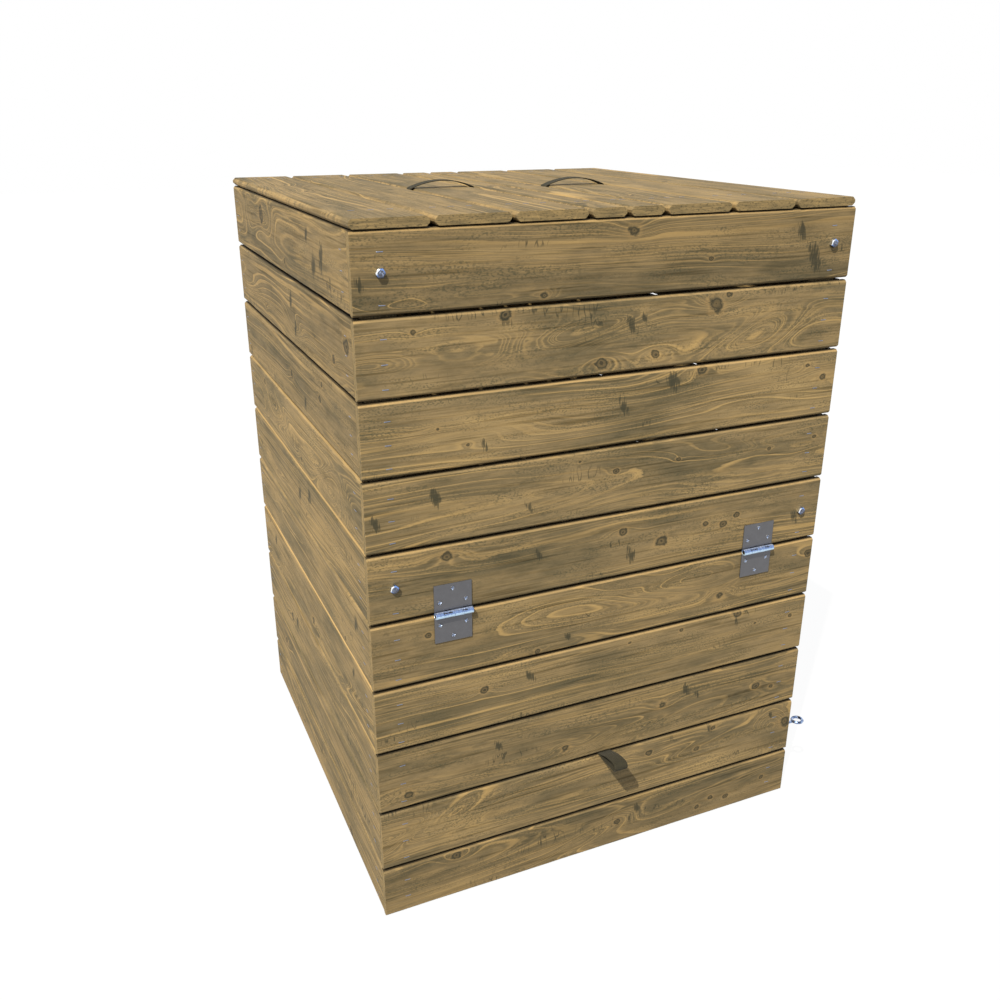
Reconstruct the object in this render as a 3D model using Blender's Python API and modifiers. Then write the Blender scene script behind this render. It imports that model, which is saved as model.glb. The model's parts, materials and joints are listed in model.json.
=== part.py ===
"""Wooden garden compost bin: slatted walls, a hinged emptying flap and a two-piece lift-off lid."""

import math

import bmesh
import bpy
from mathutils import Matrix, Vector

# Board stock, one size for walls, flap and lid
BOARD_LENGTH = 0.724
BOARD_WIDTH = 0.097
BOARD_THICKNESS = 0.012
BOARD_CHAMFER = 0.003
LID_BOARD_CHAMFER = 0.0041

# Courses of boards, counted from the top
UPPER_COURSES = 5
FLAP_COURSES = 4
WALL_GAP = 0.0035
SILL_WIDTH = 0.0835

# Clearance between pieces that meet, and how far posts sink into boards of the same body
FIT = 0.0003
PANEL_BITE = 0.0006

# Corner posts and the battens behind the front boards
POST_WIDTH = 0.045
POST_DEPTH = 0.025
POST_PROUD_BY = 0.001
FRONT_BATTEN_THICKNESS = 0.015
BATTEN_END_INSET = 0.003
TIMBER_CHAMFER = 0.0015

# Lid, in two halves that lift off
LID_GAP = 0.006
LID_SHORT_BY = 0.003
NARROWEST_LID_BOARD = 0.020
LID_BATTEN_WIDTH = 0.030
LID_BATTEN_THICKNESS = 0.015
LID_BATTEN_FRONT = 0.0885
LID_BATTEN_REAR = 0.053
LID_BATTEN_END_GAP = 0.004

# Webbing of the handles
WEB_THICKNESS = 0.0012
WEB_TAIL = 0.022
WEB_BEND = 0.0015
LID_STRAP_WIDTH = 0.020
LID_STRAP_RISE = 0.0107
LID_STRAP_TURN = 0.002
LID_STRAP_SHIFTS = {"left": 0.017, "right": -0.014}
FLAP_STRAP_WIDTH = 0.022
FLAP_STRAP_REACH = 0.053
FLAP_STRAP_LAYER_GAP = 0.0005
LOOP_RADIUS = 0.006
LOOP_LIFT = 0.0055

# Butt hinges with rolled knuckles
HINGE_LENGTH = 0.054
HINGE_LEAF_HEIGHT = 0.0432
HINGE_SHEET = 0.0016
KNUCKLE_RADIUS = 0.00465
KNUCKLES = 4
KNUCKLE_ROLL = math.radians(292)
HINGE_INSETS = (0.1149, 0.1107)
HINGE_SCREW_SPREAD = 0.0188
HINGE_SCREW_NEAR = 0.0170
HINGE_SCREW_FAR = 0.0355

# Countersunk screw holes in the hinge leaves
SCREW_HEAD_RADIUS = 0.0038
SCREW_SHANK_RADIUS = 0.0024

# Hexagon-head bolts through front board, batten and post
BOLT_INSET = 0.0340
BOLT_DROPS = (0.0475, 0.0478)
BOLT_TURNS = [math.radians(angle) for angle in (30, 8, 14, 20)]
HEX_FLATS = 0.0106
HEX_CROWN_SHARE = 0.8
HEX_CHAMFER = math.radians(30)
BOLT_HEAD_HEIGHT = 0.0053
BOLT_SHANK_RADIUS = 0.0030
BOLT_END_SHOWS = 0.0015
WASHER_RADIUS = 0.0065
WASHER_THICKNESS = 0.0012
NUT_THICKNESS = 0.0050

# Hook and two screw eyes on the right-hand side
EYE_RING_RADIUS = 0.0087
EYE_WIRE_RADIUS = 0.0026
EYE_BEND_RADIUS = 0.0032
EYE_STANDOFF = 0.0226
EYE_SHANK_DEPTH = 0.018
EYE_DROP_FROM_COURSE = 0.0490
HOOK_RING_RADIUS = 0.0058
HOOK_WIRE_RADIUS = 0.00175
HOOK_BEND_RADIUS = 0.0025
HOOK_REACH = 0.027
HOOK_TIP_BEND = 0.004
HOOK_TIP_LENGTH = 0.015
HOOK_ABOVE_EYE = 0.010
HOOK_REST_TILT = math.radians(17)
RING_OPEN_ANGLE = math.radians(155)

ROUND_STEPS = 20
STRAP_ARCH_STEPS = 20
BEND_STEPS = 3

# Colours of the stained softwood, the zinc-plated steel and the webbing
STAINED_WOOD = ((0.33, 0.24, 0.13), 0.75, 0.0)
RAW_WOOD = ((0.42, 0.32, 0.19), 0.80, 0.0)
ZINC_STEEL = ((0.42, 0.44, 0.48), 0.35, 1.0)
WEBBING = ((0.035, 0.032, 0.026), 0.85, 0.0)

# Values that follow from the sizes above
BIN_WIDTH = BOARD_LENGTH
BIN_DEPTH = BOARD_THICKNESS + FIT + BOARD_LENGTH
COURSE_PITCH = BOARD_WIDTH + WALL_GAP
COURSES = UPPER_COURSES + FLAP_COURSES + 1
WALL_HEIGHT = (UPPER_COURSES + FLAP_COURSES) * COURSE_PITCH + SILL_WIDTH
POST_FRONT_Y = BOARD_THICKNESS + FRONT_BATTEN_THICKNESS + 2 * FIT
POST_REAR_Y = BIN_DEPTH - BOARD_THICKNESS - POST_DEPTH
HINGE_AXIS_Y = -KNUCKLE_RADIUS - FIT
HINGE_AXIS_Z = WALL_HEIGHT - UPPER_COURSES * COURSE_PITCH + WALL_GAP / 2
PIN_RADIUS = KNUCKLE_RADIUS - HINGE_SHEET - FIT
HEX_CORNER = HEX_FLATS / 2 / math.cos(math.radians(30))
EYE_X = BIN_WIDTH + EYE_STANDOFF
EYE_Z = WALL_HEIGHT - (UPPER_COURSES + FLAP_COURSES - 1) * COURSE_PITCH - EYE_DROP_FROM_COURSE
EYE_Y = BOARD_THICKNESS / 2
HOOK_TIP_Y = EYE_Y + EYE_RING_RADIUS - EYE_WIRE_RADIUS - HOOK_WIRE_RADIUS - 2 * FIT
HOOK_AXIS_Y = HOOK_TIP_Y + HOOK_REACH
HOOK_AXIS_Z = EYE_Z + HOOK_ABOVE_EYE
HOOK_EYE_Y = HOOK_AXIS_Y + EYE_RING_RADIUS
LID_Z = WALL_HEIGHT + POST_PROUD_BY + FIT

# The origin is at the bottom centre of the whole bin, with its eyes and loop
REACH_RIGHT = EYE_X + EYE_RING_RADIUS + EYE_WIRE_RADIUS
CENTRE_X = REACH_RIGHT / 2
CENTRE_Y = (BIN_DEPTH - FLAP_STRAP_REACH) / 2


def place(x, y, z):
    """World point of a point measured from the bin's front left bottom corner."""
    return Vector((x - CENTRE_X, y - CENTRE_Y, z))


def clear_scene():
    for item in list(bpy.data.objects):
        bpy.data.objects.remove(item, do_unlink=True)


def new_collection(name):
    group = bpy.data.collections.new(name)
    bpy.context.scene.collection.children.link(group)
    return group


clear_scene()
PARTS = new_collection("wooden_compost_bin")
CUTTERS = new_collection("cutters")


def paint(item, look):
    colour, roughness, metallic = look
    finish = bpy.data.materials.new(item.name)
    finish.use_nodes = True
    shader = finish.node_tree.nodes["Principled BSDF"]
    shader.inputs["Base Color"].default_value = (*colour, 1.0)
    shader.inputs["Roughness"].default_value = roughness
    shader.inputs["Metallic"].default_value = metallic
    item.data.materials.clear()
    item.data.materials.append(finish)


def add_object(name, data, location, look=None, collection=PARTS):
    item = bpy.data.objects.new(name, data)
    item.location = location
    collection.objects.link(item)
    if look:
        paint(item, look)
    return item


def add_cutter(name, data, location):
    item = add_object(name, data, location, collection=CUTTERS)
    item.hide_render = True
    item.display_type = "WIRE"
    return item


def add_empty(name, location):
    item = bpy.data.objects.new(name, None)
    item.location = location
    PARTS.objects.link(item)
    return item


def attach(item, carrier):
    """Hang a placed object on an empty that is not rotated."""
    item.parent = carrier
    item.location = item.location - carrier.location
    return item


def cut(item, cutter, operation="DIFFERENCE"):
    step = item.modifiers.new("cut_" + cutter.name, "BOOLEAN")
    step.operation = operation
    step.solver = "EXACT"
    step.object = cutter


def smooth(item, angle=math.radians(35)):
    item.data.shade_smooth()
    item.data.set_sharp_from_angle(angle=angle)


def mesh_from(shape, name):
    data = bpy.data.meshes.new(name)
    shape.to_mesh(data)
    shape.free()
    return data


# Timber


def timber_mesh(name, length, thickness, width, long_edges_only):
    """A stick of timber along X, with bevel weights on the edges that are chamfered."""
    shape = bmesh.new()
    bmesh.ops.create_cube(shape, size=1.0)
    bmesh.ops.scale(shape, vec=(length, thickness, width), verts=shape.verts)
    weight = shape.edges.layers.float.new("bevel_weight_edge")
    for edge in shape.edges:
        run = edge.verts[0].co - edge.verts[1].co
        along = abs(run.x) > abs(run.y) + abs(run.z)
        edge[weight] = 1.0 if along or not long_edges_only else 0.0
    return mesh_from(shape, name)


def add_chamfer(item, width):
    step = item.modifiers.new("chamfer", "BEVEL")
    step.width = width
    step.segments = 1
    step.limit_method = "WEIGHT"


BOARD_MESHES = {}


def board(name, centre, length, width, turn=(0.0, 0.0, 0.0), chamfer=BOARD_CHAMFER):
    """A board with chamfered long edges; equal boards share one mesh."""
    key = (round(length, 6), round(width, 6))
    if key not in BOARD_MESHES:
        BOARD_MESHES[key] = timber_mesh("board", length, BOARD_THICKNESS, width, True)
    item = add_object(name, BOARD_MESHES[key].copy(), centre, STAINED_WOOD)
    item.rotation_euler = turn
    add_chamfer(item, chamfer)
    return item


def stick(name, low, high, look=RAW_WOOD):
    """A batten or post between two corners, chamfered all round."""
    size = [b - a for a, b in zip(low, high)]
    middle = [(a + b) / 2 for a, b in zip(low, high)]
    data = timber_mesh(name, *size, False)
    item = add_object(name, data, place(*middle), look)
    add_chamfer(item, TIMBER_CHAMFER)
    return item


def joined(name, pieces, look=None):
    """One object from several placed pieces, at their evaluated shapes; a helper has no look."""
    bpy.context.view_layer.update()
    graph = bpy.context.evaluated_depsgraph_get()
    origin = pieces[0].location.copy()
    shape = bmesh.new()
    for piece in pieces:
        part = bpy.data.meshes.new_from_object(piece.evaluated_get(graph))
        part.transform(Matrix.Translation(-origin) @ piece.matrix_world)
        shape.from_mesh(part)
        bpy.data.meshes.remove(part)
    bmesh.ops.remove_doubles(shape, verts=shape.verts, dist=1e-6)
    for piece in pieces:
        bpy.data.objects.remove(piece, do_unlink=True)
    data = mesh_from(shape, name)
    return add_object(name, data, origin, look) if look else add_cutter(name, data, origin)


def wall_panel(name, posts, boards):
    """Boards and the posts that they are nailed to, as one body."""
    panel = joined(name, posts, STAINED_WOOD)
    cut(panel, joined(name + "_boards", boards), "UNION")
    return panel


def course_span(course):
    """Lower and upper z of a course, counted from 1 at the top."""
    top = WALL_HEIGHT - (course - 1) * COURSE_PITCH
    width = SILL_WIDTH if course == COURSES else BOARD_WIDTH
    return top - width, top


QUARTER_TURN = math.radians(90)
ALONG_Y = (0.0, 0.0, QUARTER_TURN)
FLAT_ALONG_Y = (QUARTER_TURN, 0.0, QUARTER_TURN)


def front_board(name, course):
    low, high = course_span(course)
    centre = place(BIN_WIDTH / 2, BOARD_THICKNESS / 2, (low + high) / 2)
    return board(name, centre, BOARD_LENGTH, high - low)


def side_board(name, course, middle_x):
    low, high = course_span(course)
    centre = place(middle_x, BIN_DEPTH - BOARD_LENGTH / 2, (low + high) / 2)
    return board(name, centre, BOARD_LENGTH, high - low, ALONG_Y)


def back_board(name, course):
    low, high = course_span(course)
    length = BIN_WIDTH - 2 * (BOARD_THICKNESS + FIT)
    centre = place(BIN_WIDTH / 2, BIN_DEPTH - BOARD_THICKNESS / 2, (low + high) / 2)
    return board(name, centre, length, high - low)


def build_walls():
    pieces = {}
    for course in range(1, COURSES + 1):
        if course <= UPPER_COURSES:
            name = f"front_board_{course}"
        elif course < COURSES:
            name = f"flap_board_{course - UPPER_COURSES}"
        else:
            name = "front_sill_board"
        pieces[name] = front_board(name, course)
        left = f"left_wall_board_{course}"
        pieces[left] = side_board(left, course, BOARD_THICKNESS / 2)
    return pieces


def post(name, side, end, bite_x=0.0, bite_y=0.0):
    """A corner post; a bite sinks it into boards that it shares a body with."""
    inset = BOARD_THICKNESS + FIT
    x_low = inset if side == "left" else BIN_WIDTH - inset - POST_WIDTH
    y_low = POST_FRONT_Y if end == "front" else POST_REAR_Y
    top = WALL_HEIGHT + POST_PROUD_BY
    high = (x_low + POST_WIDTH + bite_x, y_low + POST_DEPTH + bite_y, top)
    return stick(name, (x_low, y_low, 0.0), high)


def build_panels():
    """The two walls that the photo hides: each is one body with the posts it is nailed to."""
    rows = range(1, COURSES + 1)
    right_x = BIN_WIDTH - BOARD_THICKNESS / 2
    right = [side_board(f"right_{course}", course, right_x) for course in rows]
    back = [back_board(f"back_{course}", course) for course in rows]
    front_right = post("front_right", "right", "front", bite_x=PANEL_BITE)
    rear = [post(f"rear_{side}", side, "rear", bite_y=PANEL_BITE) for side in ("left", "right")]
    return {
        "right_wall_panel": wall_panel("right_wall_panel", [front_right], right),
        "back_wall_panel": wall_panel("back_wall_panel", rear, back),
        "corner_post_front_left": post("corner_post_front_left", "left", "front"),
    }


def build_battens():
    """The battens that tie each group of front boards together."""
    pieces = {}
    inset = BOARD_THICKNESS + FIT
    columns = {
        "left": (inset, inset + POST_WIDTH),
        "right": (BIN_WIDTH - inset - POST_WIDTH, BIN_WIDTH - inset),
    }
    for side, (x_low, x_high) in columns.items():
        groups = {
            f"upper_front_batten_{side}": (1, UPPER_COURSES),
            f"flap_batten_{side}": (UPPER_COURSES + 1, COURSES - 1),
            f"sill_block_{side}": (COURSES, COURSES),
        }
        for name, (first, last) in groups.items():
            low = course_span(last)[0] + BATTEN_END_INSET
            high = course_span(first)[1] - BATTEN_END_INSET
            y_low = BOARD_THICKNESS + FIT
            y_high = y_low + FRONT_BATTEN_THICKNESS
            pieces[name] = stick(name, (x_low, y_low, low), (x_high, y_high, high))
    return pieces


# Lid


def lid_layout():
    """Left edges and widths of one half's boards, from the outer edge to the middle."""
    half = (BIN_WIDTH - LID_SHORT_BY - LID_GAP) / 2
    pitch = BOARD_WIDTH + LID_GAP
    full = int((half - NARROWEST_LID_BOARD) // pitch)
    spans = [(index * pitch, BOARD_WIDTH) for index in range(full)]
    spans.append((full * pitch, half - full * pitch))
    return half, spans


def build_lid_half(side):
    """The left half starts flush with the left wall; the right half mirrors it."""
    half, spans = lid_layout()
    total = BIN_WIDTH - LID_SHORT_BY
    pieces = []
    carrier = add_empty(f"lid_{side}_lift", place(BIN_WIDTH / 2, BIN_DEPTH / 2, LID_Z))

    def across(start, width):
        return start + width / 2 if side == "left" else total - start - width / 2

    for number, (start, width) in enumerate(spans, 1):
        centre = place(across(start, width), BIN_DEPTH / 2, LID_Z + BOARD_THICKNESS / 2)
        name = f"lid_{side}_board_{number}"
        pieces.append(board(name, centre, BIN_DEPTH, width, FLAT_ALONG_Y, LID_BOARD_CHAMFER))
    outer = BOARD_THICKNESS + LID_BATTEN_END_GAP
    if side == "left":
        x_low, x_high = outer, half - LID_BATTEN_END_GAP
    else:
        x_low, x_high = total - half + LID_BATTEN_END_GAP, BIN_WIDTH - outer
    battens = []
    for end, middle in (("front", LID_BATTEN_FRONT), ("rear", BIN_DEPTH - LID_BATTEN_REAR)):
        top = LID_Z - FIT
        low = (x_low, middle - LID_BATTEN_WIDTH / 2, top - LID_BATTEN_THICKNESS)
        high = (x_high, middle + LID_BATTEN_WIDTH / 2, top)
        battens.append(stick(f"lid_{side}_batten_{end}", low, high))
    pieces += battens
    inner_full = spans[-2][0]
    gaps = (inner_full - LID_GAP / 2, inner_full + BOARD_WIDTH + LID_GAP / 2)
    ends = sorted(across(gap, 0.0) for gap in gaps)
    strap_y = BIN_DEPTH / 2 + LID_STRAP_SHIFTS[side]
    pieces.append(lid_strap(f"lid_{side}_strap_handle", *ends, strap_y))
    for piece in pieces:
        attach(piece, carrier)


# Webbing


def arc(centre, radius, start, sweep, steps):
    """Points of an arc in a plane, both ends included."""
    points = []
    for index in range(steps + 1):
        angle = start + sweep * index / steps
        points.append((centre[0] + radius * math.cos(angle), centre[1] + radius * math.sin(angle)))
    return points


def bezier(a, b, c, d, steps):
    """Points of a cubic curve, without its first."""
    points = []
    for index in range(1, steps + 1):
        t = index / steps
        u = 1 - t
        weights = (u * u * u, 3 * u * u * t, 3 * u * t * t, t * t * t)
        points.append(tuple(sum(w * p[i] for w, p in zip(weights, (a, b, c, d))) for i in (0, 1)))
    return points


def webbing(name, path, width, location, to_local):
    """A strap: the path swept to its width as an open sheet, thickened by Solidify."""
    shape = bmesh.new()
    verts = [shape.verts.new(to_local(point, -width / 2)) for point in path]
    edges = [shape.edges.new(pair) for pair in zip(verts, verts[1:])]
    swept = bmesh.ops.extrude_edge_only(shape, edges=edges)
    moved = [item for item in swept["geom"] if isinstance(item, bmesh.types.BMVert)]
    shift = to_local((0.0, 0.0), width / 2) - to_local((0.0, 0.0), -width / 2)
    bmesh.ops.translate(shape, vec=shift, verts=moved)
    bmesh.ops.recalc_face_normals(shape, faces=shape.faces)
    item = add_object(name, mesh_from(shape, name), location, WEBBING)
    step = item.modifiers.new("webbing", "SOLIDIFY")
    step.thickness = WEB_THICKNESS
    step.offset = 0.0
    step.use_even_offset = True
    smooth(item)
    return item


def lid_strap(name, x_left, x_right, y):
    """Up through one gap, over the board in a flat arch, down the next; tails under the boards."""
    middle = (x_left + x_right) / 2
    half_span = (x_right - x_left) / 2
    under = -FIT - WEB_THICKNESS / 2
    bend = WEB_BEND
    path = [(-half_span - WEB_TAIL, under)]
    path += arc((-half_span - bend, under + bend), bend, -QUARTER_TURN, QUARTER_TURN, BEND_STEPS)
    slope = math.atan(2 * LID_STRAP_RISE / half_span)
    turn = LID_STRAP_TURN
    knee = (half_span - turn, BOARD_THICKNESS - turn)
    path += arc((-knee[0], knee[1]), turn, math.pi, slope - QUARTER_TURN, BEND_STEPS)
    foot_x, foot_z = path[-1]
    for index in range(1, STRAP_ARCH_STEPS):
        share = 1 - 2 * index / STRAP_ARCH_STEPS
        rise = BOARD_THICKNESS + LID_STRAP_RISE - foot_z
        path.append((foot_x * share, foot_z + rise * (1 - share**2)))
    path += arc(knee, turn, QUARTER_TURN - slope, slope - QUARTER_TURN, BEND_STEPS)
    path += arc((half_span + bend, under + bend), bend, math.pi, QUARTER_TURN, BEND_STEPS)
    path.append((half_span + WEB_TAIL, under))

    def to_local(point, across):
        return Vector((point[0], across, point[1]))

    return webbing(name, path, LID_STRAP_WIDTH, place(middle, y, LID_Z), to_local)


def flap_strap():
    """A loop pulled out between two flap boards, its tails against their inner faces."""
    course = UPPER_COURSES + FLAP_COURSES
    gap_z = course_span(course)[1] + WALL_GAP / 2
    layer = (WEB_THICKNESS + FLAP_STRAP_LAYER_GAP) / 2
    inside = BOARD_THICKNESS + FIT + WEB_THICKNESS / 2
    bend = WEB_BEND
    tip = (-FLAP_STRAP_REACH + WEB_THICKNESS / 2 + LOOP_RADIUS, LOOP_LIFT)
    path = [(inside, layer + WEB_TAIL)]
    path += arc((inside - bend, layer + bend), bend, 0.0, -QUARTER_TURN, BEND_STEPS)
    path.append((0.0, layer))
    top = (tip[0], tip[1] + LOOP_RADIUS)
    lean = abs(tip[0])
    handles = ((-lean / 5, layer + LOOP_RADIUS / 2), (-lean * 2 / 3, top[1] + LOOP_RADIUS / 10))
    path += bezier((0.0, layer), *handles, top, STRAP_ARCH_STEPS // 2)
    path += arc(tip, LOOP_RADIUS, QUARTER_TURN, math.pi, STRAP_ARCH_STEPS // 2)[1:]
    low = (tip[0], tip[1] - LOOP_RADIUS)
    handles = ((-lean * 4 / 5, low[1] - LOOP_RADIUS / 8), (-lean / 3, -layer - LOOP_RADIUS / 4))
    path += bezier(low, *handles, (0.0, -layer), STRAP_ARCH_STEPS // 2)
    path += arc((inside - bend, -layer - bend), bend, QUARTER_TURN, -QUARTER_TURN, BEND_STEPS)
    path.append((inside, -layer - WEB_TAIL))

    def to_local(point, across):
        return Vector((across, point[0], point[1]))

    location = place(BIN_WIDTH / 2, 0.0, gap_z)
    return webbing("flap_strap_loop", path, FLAP_STRAP_WIDTH, location, to_local)


# Turned pieces and fasteners


def turned_mesh(name, profile, steps=ROUND_STEPS):
    """Screw-modifier lathe about Y; the profile gives radius and Y, outer side first to last."""
    shape = bmesh.new()
    verts = [shape.verts.new((radius, depth, 0.0)) for radius, depth in profile]
    for pair in zip(verts, verts[1:]):
        shape.edges.new(pair)
    item = add_object(name, mesh_from(shape, name), (0.0, 0.0, 0.0))
    step = item.modifiers.new("turn", "SCREW")
    step.axis = "Y"
    step.steps = steps
    step.render_steps = steps
    step.use_merge_vertices = True
    step.merge_threshold = 1e-5
    step.use_normal_calculate = True
    bpy.context.view_layer.update()
    graph = bpy.context.evaluated_depsgraph_get()
    data = bpy.data.meshes.new_from_object(item.evaluated_get(graph))
    bpy.data.objects.remove(item, do_unlink=True)
    return closed_outward(data)


def closed_outward(data):
    shape = bmesh.new()
    shape.from_mesh(data)
    bmesh.ops.remove_doubles(shape, verts=shape.verts, dist=1e-6)
    bmesh.ops.recalc_face_normals(shape, faces=shape.faces)
    shape.to_mesh(data)
    shape.free()
    return data


def copies(data, points):
    """One mesh with a copy of a mesh at each point."""
    shape = bmesh.new()
    for point in points:
        part = data.copy()
        part.transform(Matrix.Translation(point))
        shape.from_mesh(part)
        bpy.data.meshes.remove(part)
    return mesh_from(shape, data.name)


def cylinder_mesh(name, radius, depth, segments=ROUND_STEPS, axis="Y"):
    shape = bmesh.new()
    bmesh.ops.create_cone(
        shape, cap_ends=True, segments=segments, radius1=radius, radius2=radius, depth=depth
    )
    turn = Matrix.Rotation(QUARTER_TURN, 3, "X" if axis == "Y" else "Y")
    bmesh.ops.rotate(shape, matrix=turn, verts=shape.verts)
    return mesh_from(shape, name)


def screw_hole_profile():
    """Countersunk hole through a leaf, from the wood at depth 0 out past the leaf's face."""
    face = -HINGE_SHEET
    cone_end = face + SCREW_HEAD_RADIUS - SCREW_SHANK_RADIUS
    return [
        (0.0, 2 * face),
        (SCREW_HEAD_RADIUS, 2 * face),
        (SCREW_HEAD_RADIUS, face),
        (SCREW_SHANK_RADIUS, cone_end),
        (SCREW_SHANK_RADIUS, -face),
        (0.0, -face),
    ]


def bolt_positions():
    columns = (BOLT_INSET, BIN_WIDTH - BOLT_INSET)
    rows = (course_span(1)[1] - BOLT_DROPS[0], course_span(UPPER_COURSES)[1] - BOLT_DROPS[1])
    return [(x, z) for z in rows for x in columns]


def build_bolts(pieces):
    grip = POST_FRONT_Y + POST_DEPTH + FIT
    end = grip + WASHER_THICKNESS + NUT_THICKNESS + BOLT_END_SHOWS
    crown = HEX_FLATS / 2 * HEX_CROWN_SHARE
    blank = HEX_CORNER + BOLT_END_SHOWS
    chamfer = (blank - crown) * math.tan(HEX_CHAMFER)
    front = -FIT - BOLT_HEAD_HEIGHT
    profile = [
        (0.0, front),
        (crown, front),
        (blank, front + chamfer),
        (blank, -FIT),
        (BOLT_SHANK_RADIUS, -FIT),
        (BOLT_SHANK_RADIUS, end),
        (0.0, end),
    ]
    blank_mesh = turned_mesh("bolt", profile, 24)
    hexagon = cylinder_mesh("bolt_hexagon", HEX_CORNER, 3 * end, segments=6)
    nut_profile = [
        (WASHER_RADIUS, grip),
        (WASHER_RADIUS, grip + WASHER_THICKNESS),
        (HEX_FLATS / 2, grip + WASHER_THICKNESS),
        (HEX_FLATS / 2, end - BOLT_END_SHOWS),
        (BOLT_SHANK_RADIUS - FIT, end - BOLT_END_SHOWS),
        (BOLT_SHANK_RADIUS - FIT, grip),
        (WASHER_RADIUS, grip),
    ]
    nut = turned_mesh("nut", nut_profile, 12)
    hole = cylinder_mesh("bolt_hole", BOLT_SHANK_RADIUS + FIT, 3 * end)
    for number, (x, z) in enumerate(bolt_positions(), 1):
        side = "left" if x < BIN_WIDTH / 2 else "right"
        level = "upper" if number < 3 else "lower"
        point = place(x, 0.0, z)
        bolt = add_object(f"bolt_{level}_{side}", blank_mesh.copy(), point, ZINC_STEEL)
        label = f"{level}_{side}"
        six_sides = add_cutter(f"bolt_hexagon_{label}", hexagon.copy(), point)
        six_sides.rotation_euler = (0.0, BOLT_TURNS[number - 1], 0.0)
        cut(bolt, six_sides, "INTERSECT")
        cut(bolt, add_cutter(f"nut_and_washer_{label}", nut.copy(), point), "UNION")
        smooth(bolt)
        cutter = add_cutter(f"bolt_hole_{label}", hole.copy(), point)
        row = "front_board_1" if level == "upper" else f"front_board_{UPPER_COURSES}"
        back = "corner_post_front_left" if side == "left" else "right_wall_panel"
        for name in (row, f"upper_front_batten_{side}", back):
            cut(pieces[name], cutter)


# Hinges


def hinge_leaf_mesh(name):
    """Flat sheet with every second tongue rolled round the pin; its axis is X at the origin."""
    pitch = HINGE_LENGTH / KNUCKLES
    middle = KNUCKLE_RADIUS - HINGE_SHEET / 2
    notch = KNUCKLE_RADIUS + FIT
    tongues = []
    for index in range(0, KNUCKLES, 2):
        low = -HINGE_LENGTH / 2 + index * pitch
        high = low + pitch - FIT / 2
        tongues.append((low + FIT / 2 if index else low, high))
    marks = sorted({x for span in tongues for x in span} | {HINGE_LENGTH / 2})
    shape = bmesh.new()
    lower = [shape.verts.new((x, middle, notch)) for x in marks]
    upper = [shape.verts.new((x, middle, HINGE_LEAF_HEIGHT)) for x in marks]
    for index in range(len(marks) - 1):
        shape.faces.new((lower[index], lower[index + 1], upper[index + 1], upper[index]))
    for low, high in tongues:
        pair = [lower[marks.index(low)], lower[marks.index(high)]]
        edge = shape.edges.get(pair)
        grown = bmesh.ops.extrude_edge_only(shape, edges=[edge])["geom"]
        verts = [item for item in grown if isinstance(item, bmesh.types.BMVert)]
        bmesh.ops.translate(shape, vec=(0.0, 0.0, -notch), verts=verts)
        edge = shape.edges.get(verts)
        bmesh.ops.spin(
            shape,
            geom=[*verts, edge],
            cent=(0.0, 0.0, 0.0),
            axis=(-1.0, 0.0, 0.0),
            angle=KNUCKLE_ROLL,
            steps=ROUND_STEPS // 2,
        )
    bmesh.ops.recalc_face_normals(shape, faces=shape.faces)
    return mesh_from(shape, name)


def build_hinges(flap_axis):
    """Upper leaves and pins stay on the wall; lower leaves swing with the flap."""
    hole = turned_mesh("hinge_screw_hole", screw_hole_profile(), 16)
    columns = {"left": HINGE_INSETS[0], "right": BIN_WIDTH - HINGE_INSETS[1]}
    spots = [
        (-HINGE_SCREW_SPREAD, HINGE_SCREW_NEAR),
        (HINGE_SCREW_SPREAD, HINGE_SCREW_NEAR),
        (0.0, HINGE_SCREW_FAR),
    ]
    pin = cylinder_mesh("hinge_pin", PIN_RADIUS, HINGE_LENGTH, axis="X")
    for side, x in columns.items():
        axis_point = place(x, HINGE_AXIS_Y, HINGE_AXIS_Z)
        for level, sign in (("upper", 1), ("lower", -1)):
            name = f"hinge_{side}_{level}_leaf"
            leaf = add_object(name, hinge_leaf_mesh(name), axis_point, ZINC_STEEL)
            leaf.rotation_euler = (0.0, 0.0 if sign > 0 else math.pi, 0.0)
            step = leaf.modifiers.new("sheet", "SOLIDIFY")
            step.thickness = HINGE_SHEET
            step.offset = 0.0
            step.use_even_offset = True
            smooth(leaf)
            points = [Vector((dx, KNUCKLE_RADIUS, sign * dz)) for dx, dz in spots]
            holes = copies(hole, points)
            cut(leaf, add_cutter(f"screw_holes_{side}_{level}", holes, axis_point))
            if sign < 0:
                attach(leaf, flap_axis)
        smooth(add_object(f"hinge_{side}_pin", pin.copy(), axis_point, ZINC_STEEL))


# Hook and eyes


def ring_path(ring, bend, shank_end):
    """Wire path in a plane: straight shank from -X, a bend, then round an open ring at 0,0."""
    start = -math.sqrt((ring + bend) ** 2 - bend**2)
    lean = math.atan2(bend, -start)
    turn_end = QUARTER_TURN - lean
    path = [(shank_end, 0.0)]
    path += arc((start, -bend), bend, QUARTER_TURN, -turn_end, BEND_STEPS)
    first = math.pi + lean
    last = 2 * math.pi + RING_OPEN_ANGLE
    path += arc((0.0, 0.0), ring, first, last - first, 22)[1:]
    return path


def wire(name, points, radius, location):
    curve = bpy.data.curves.new(name, "CURVE")
    curve.dimensions = "3D"
    curve.bevel_depth = radius
    curve.bevel_resolution = 2
    curve.use_fill_caps = True
    spline = curve.splines.new("POLY")
    spline.points.add(len(points) - 1)
    for target, point in zip(spline.points, points):
        target.co = (*point, 1.0)
    spline.use_smooth = True
    return add_object(name, curve, location, ZINC_STEEL)


def screw_eye(name, y, z):
    """Screwed into the side along X, its ring level."""
    path = ring_path(EYE_RING_RADIUS, EYE_BEND_RADIUS, -EYE_STANDOFF - EYE_SHANK_DEPTH)
    points = [(a, b, 0.0) for a, b in path]
    return wire(name, points, EYE_WIRE_RADIUS, place(EYE_X, y, z))


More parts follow.
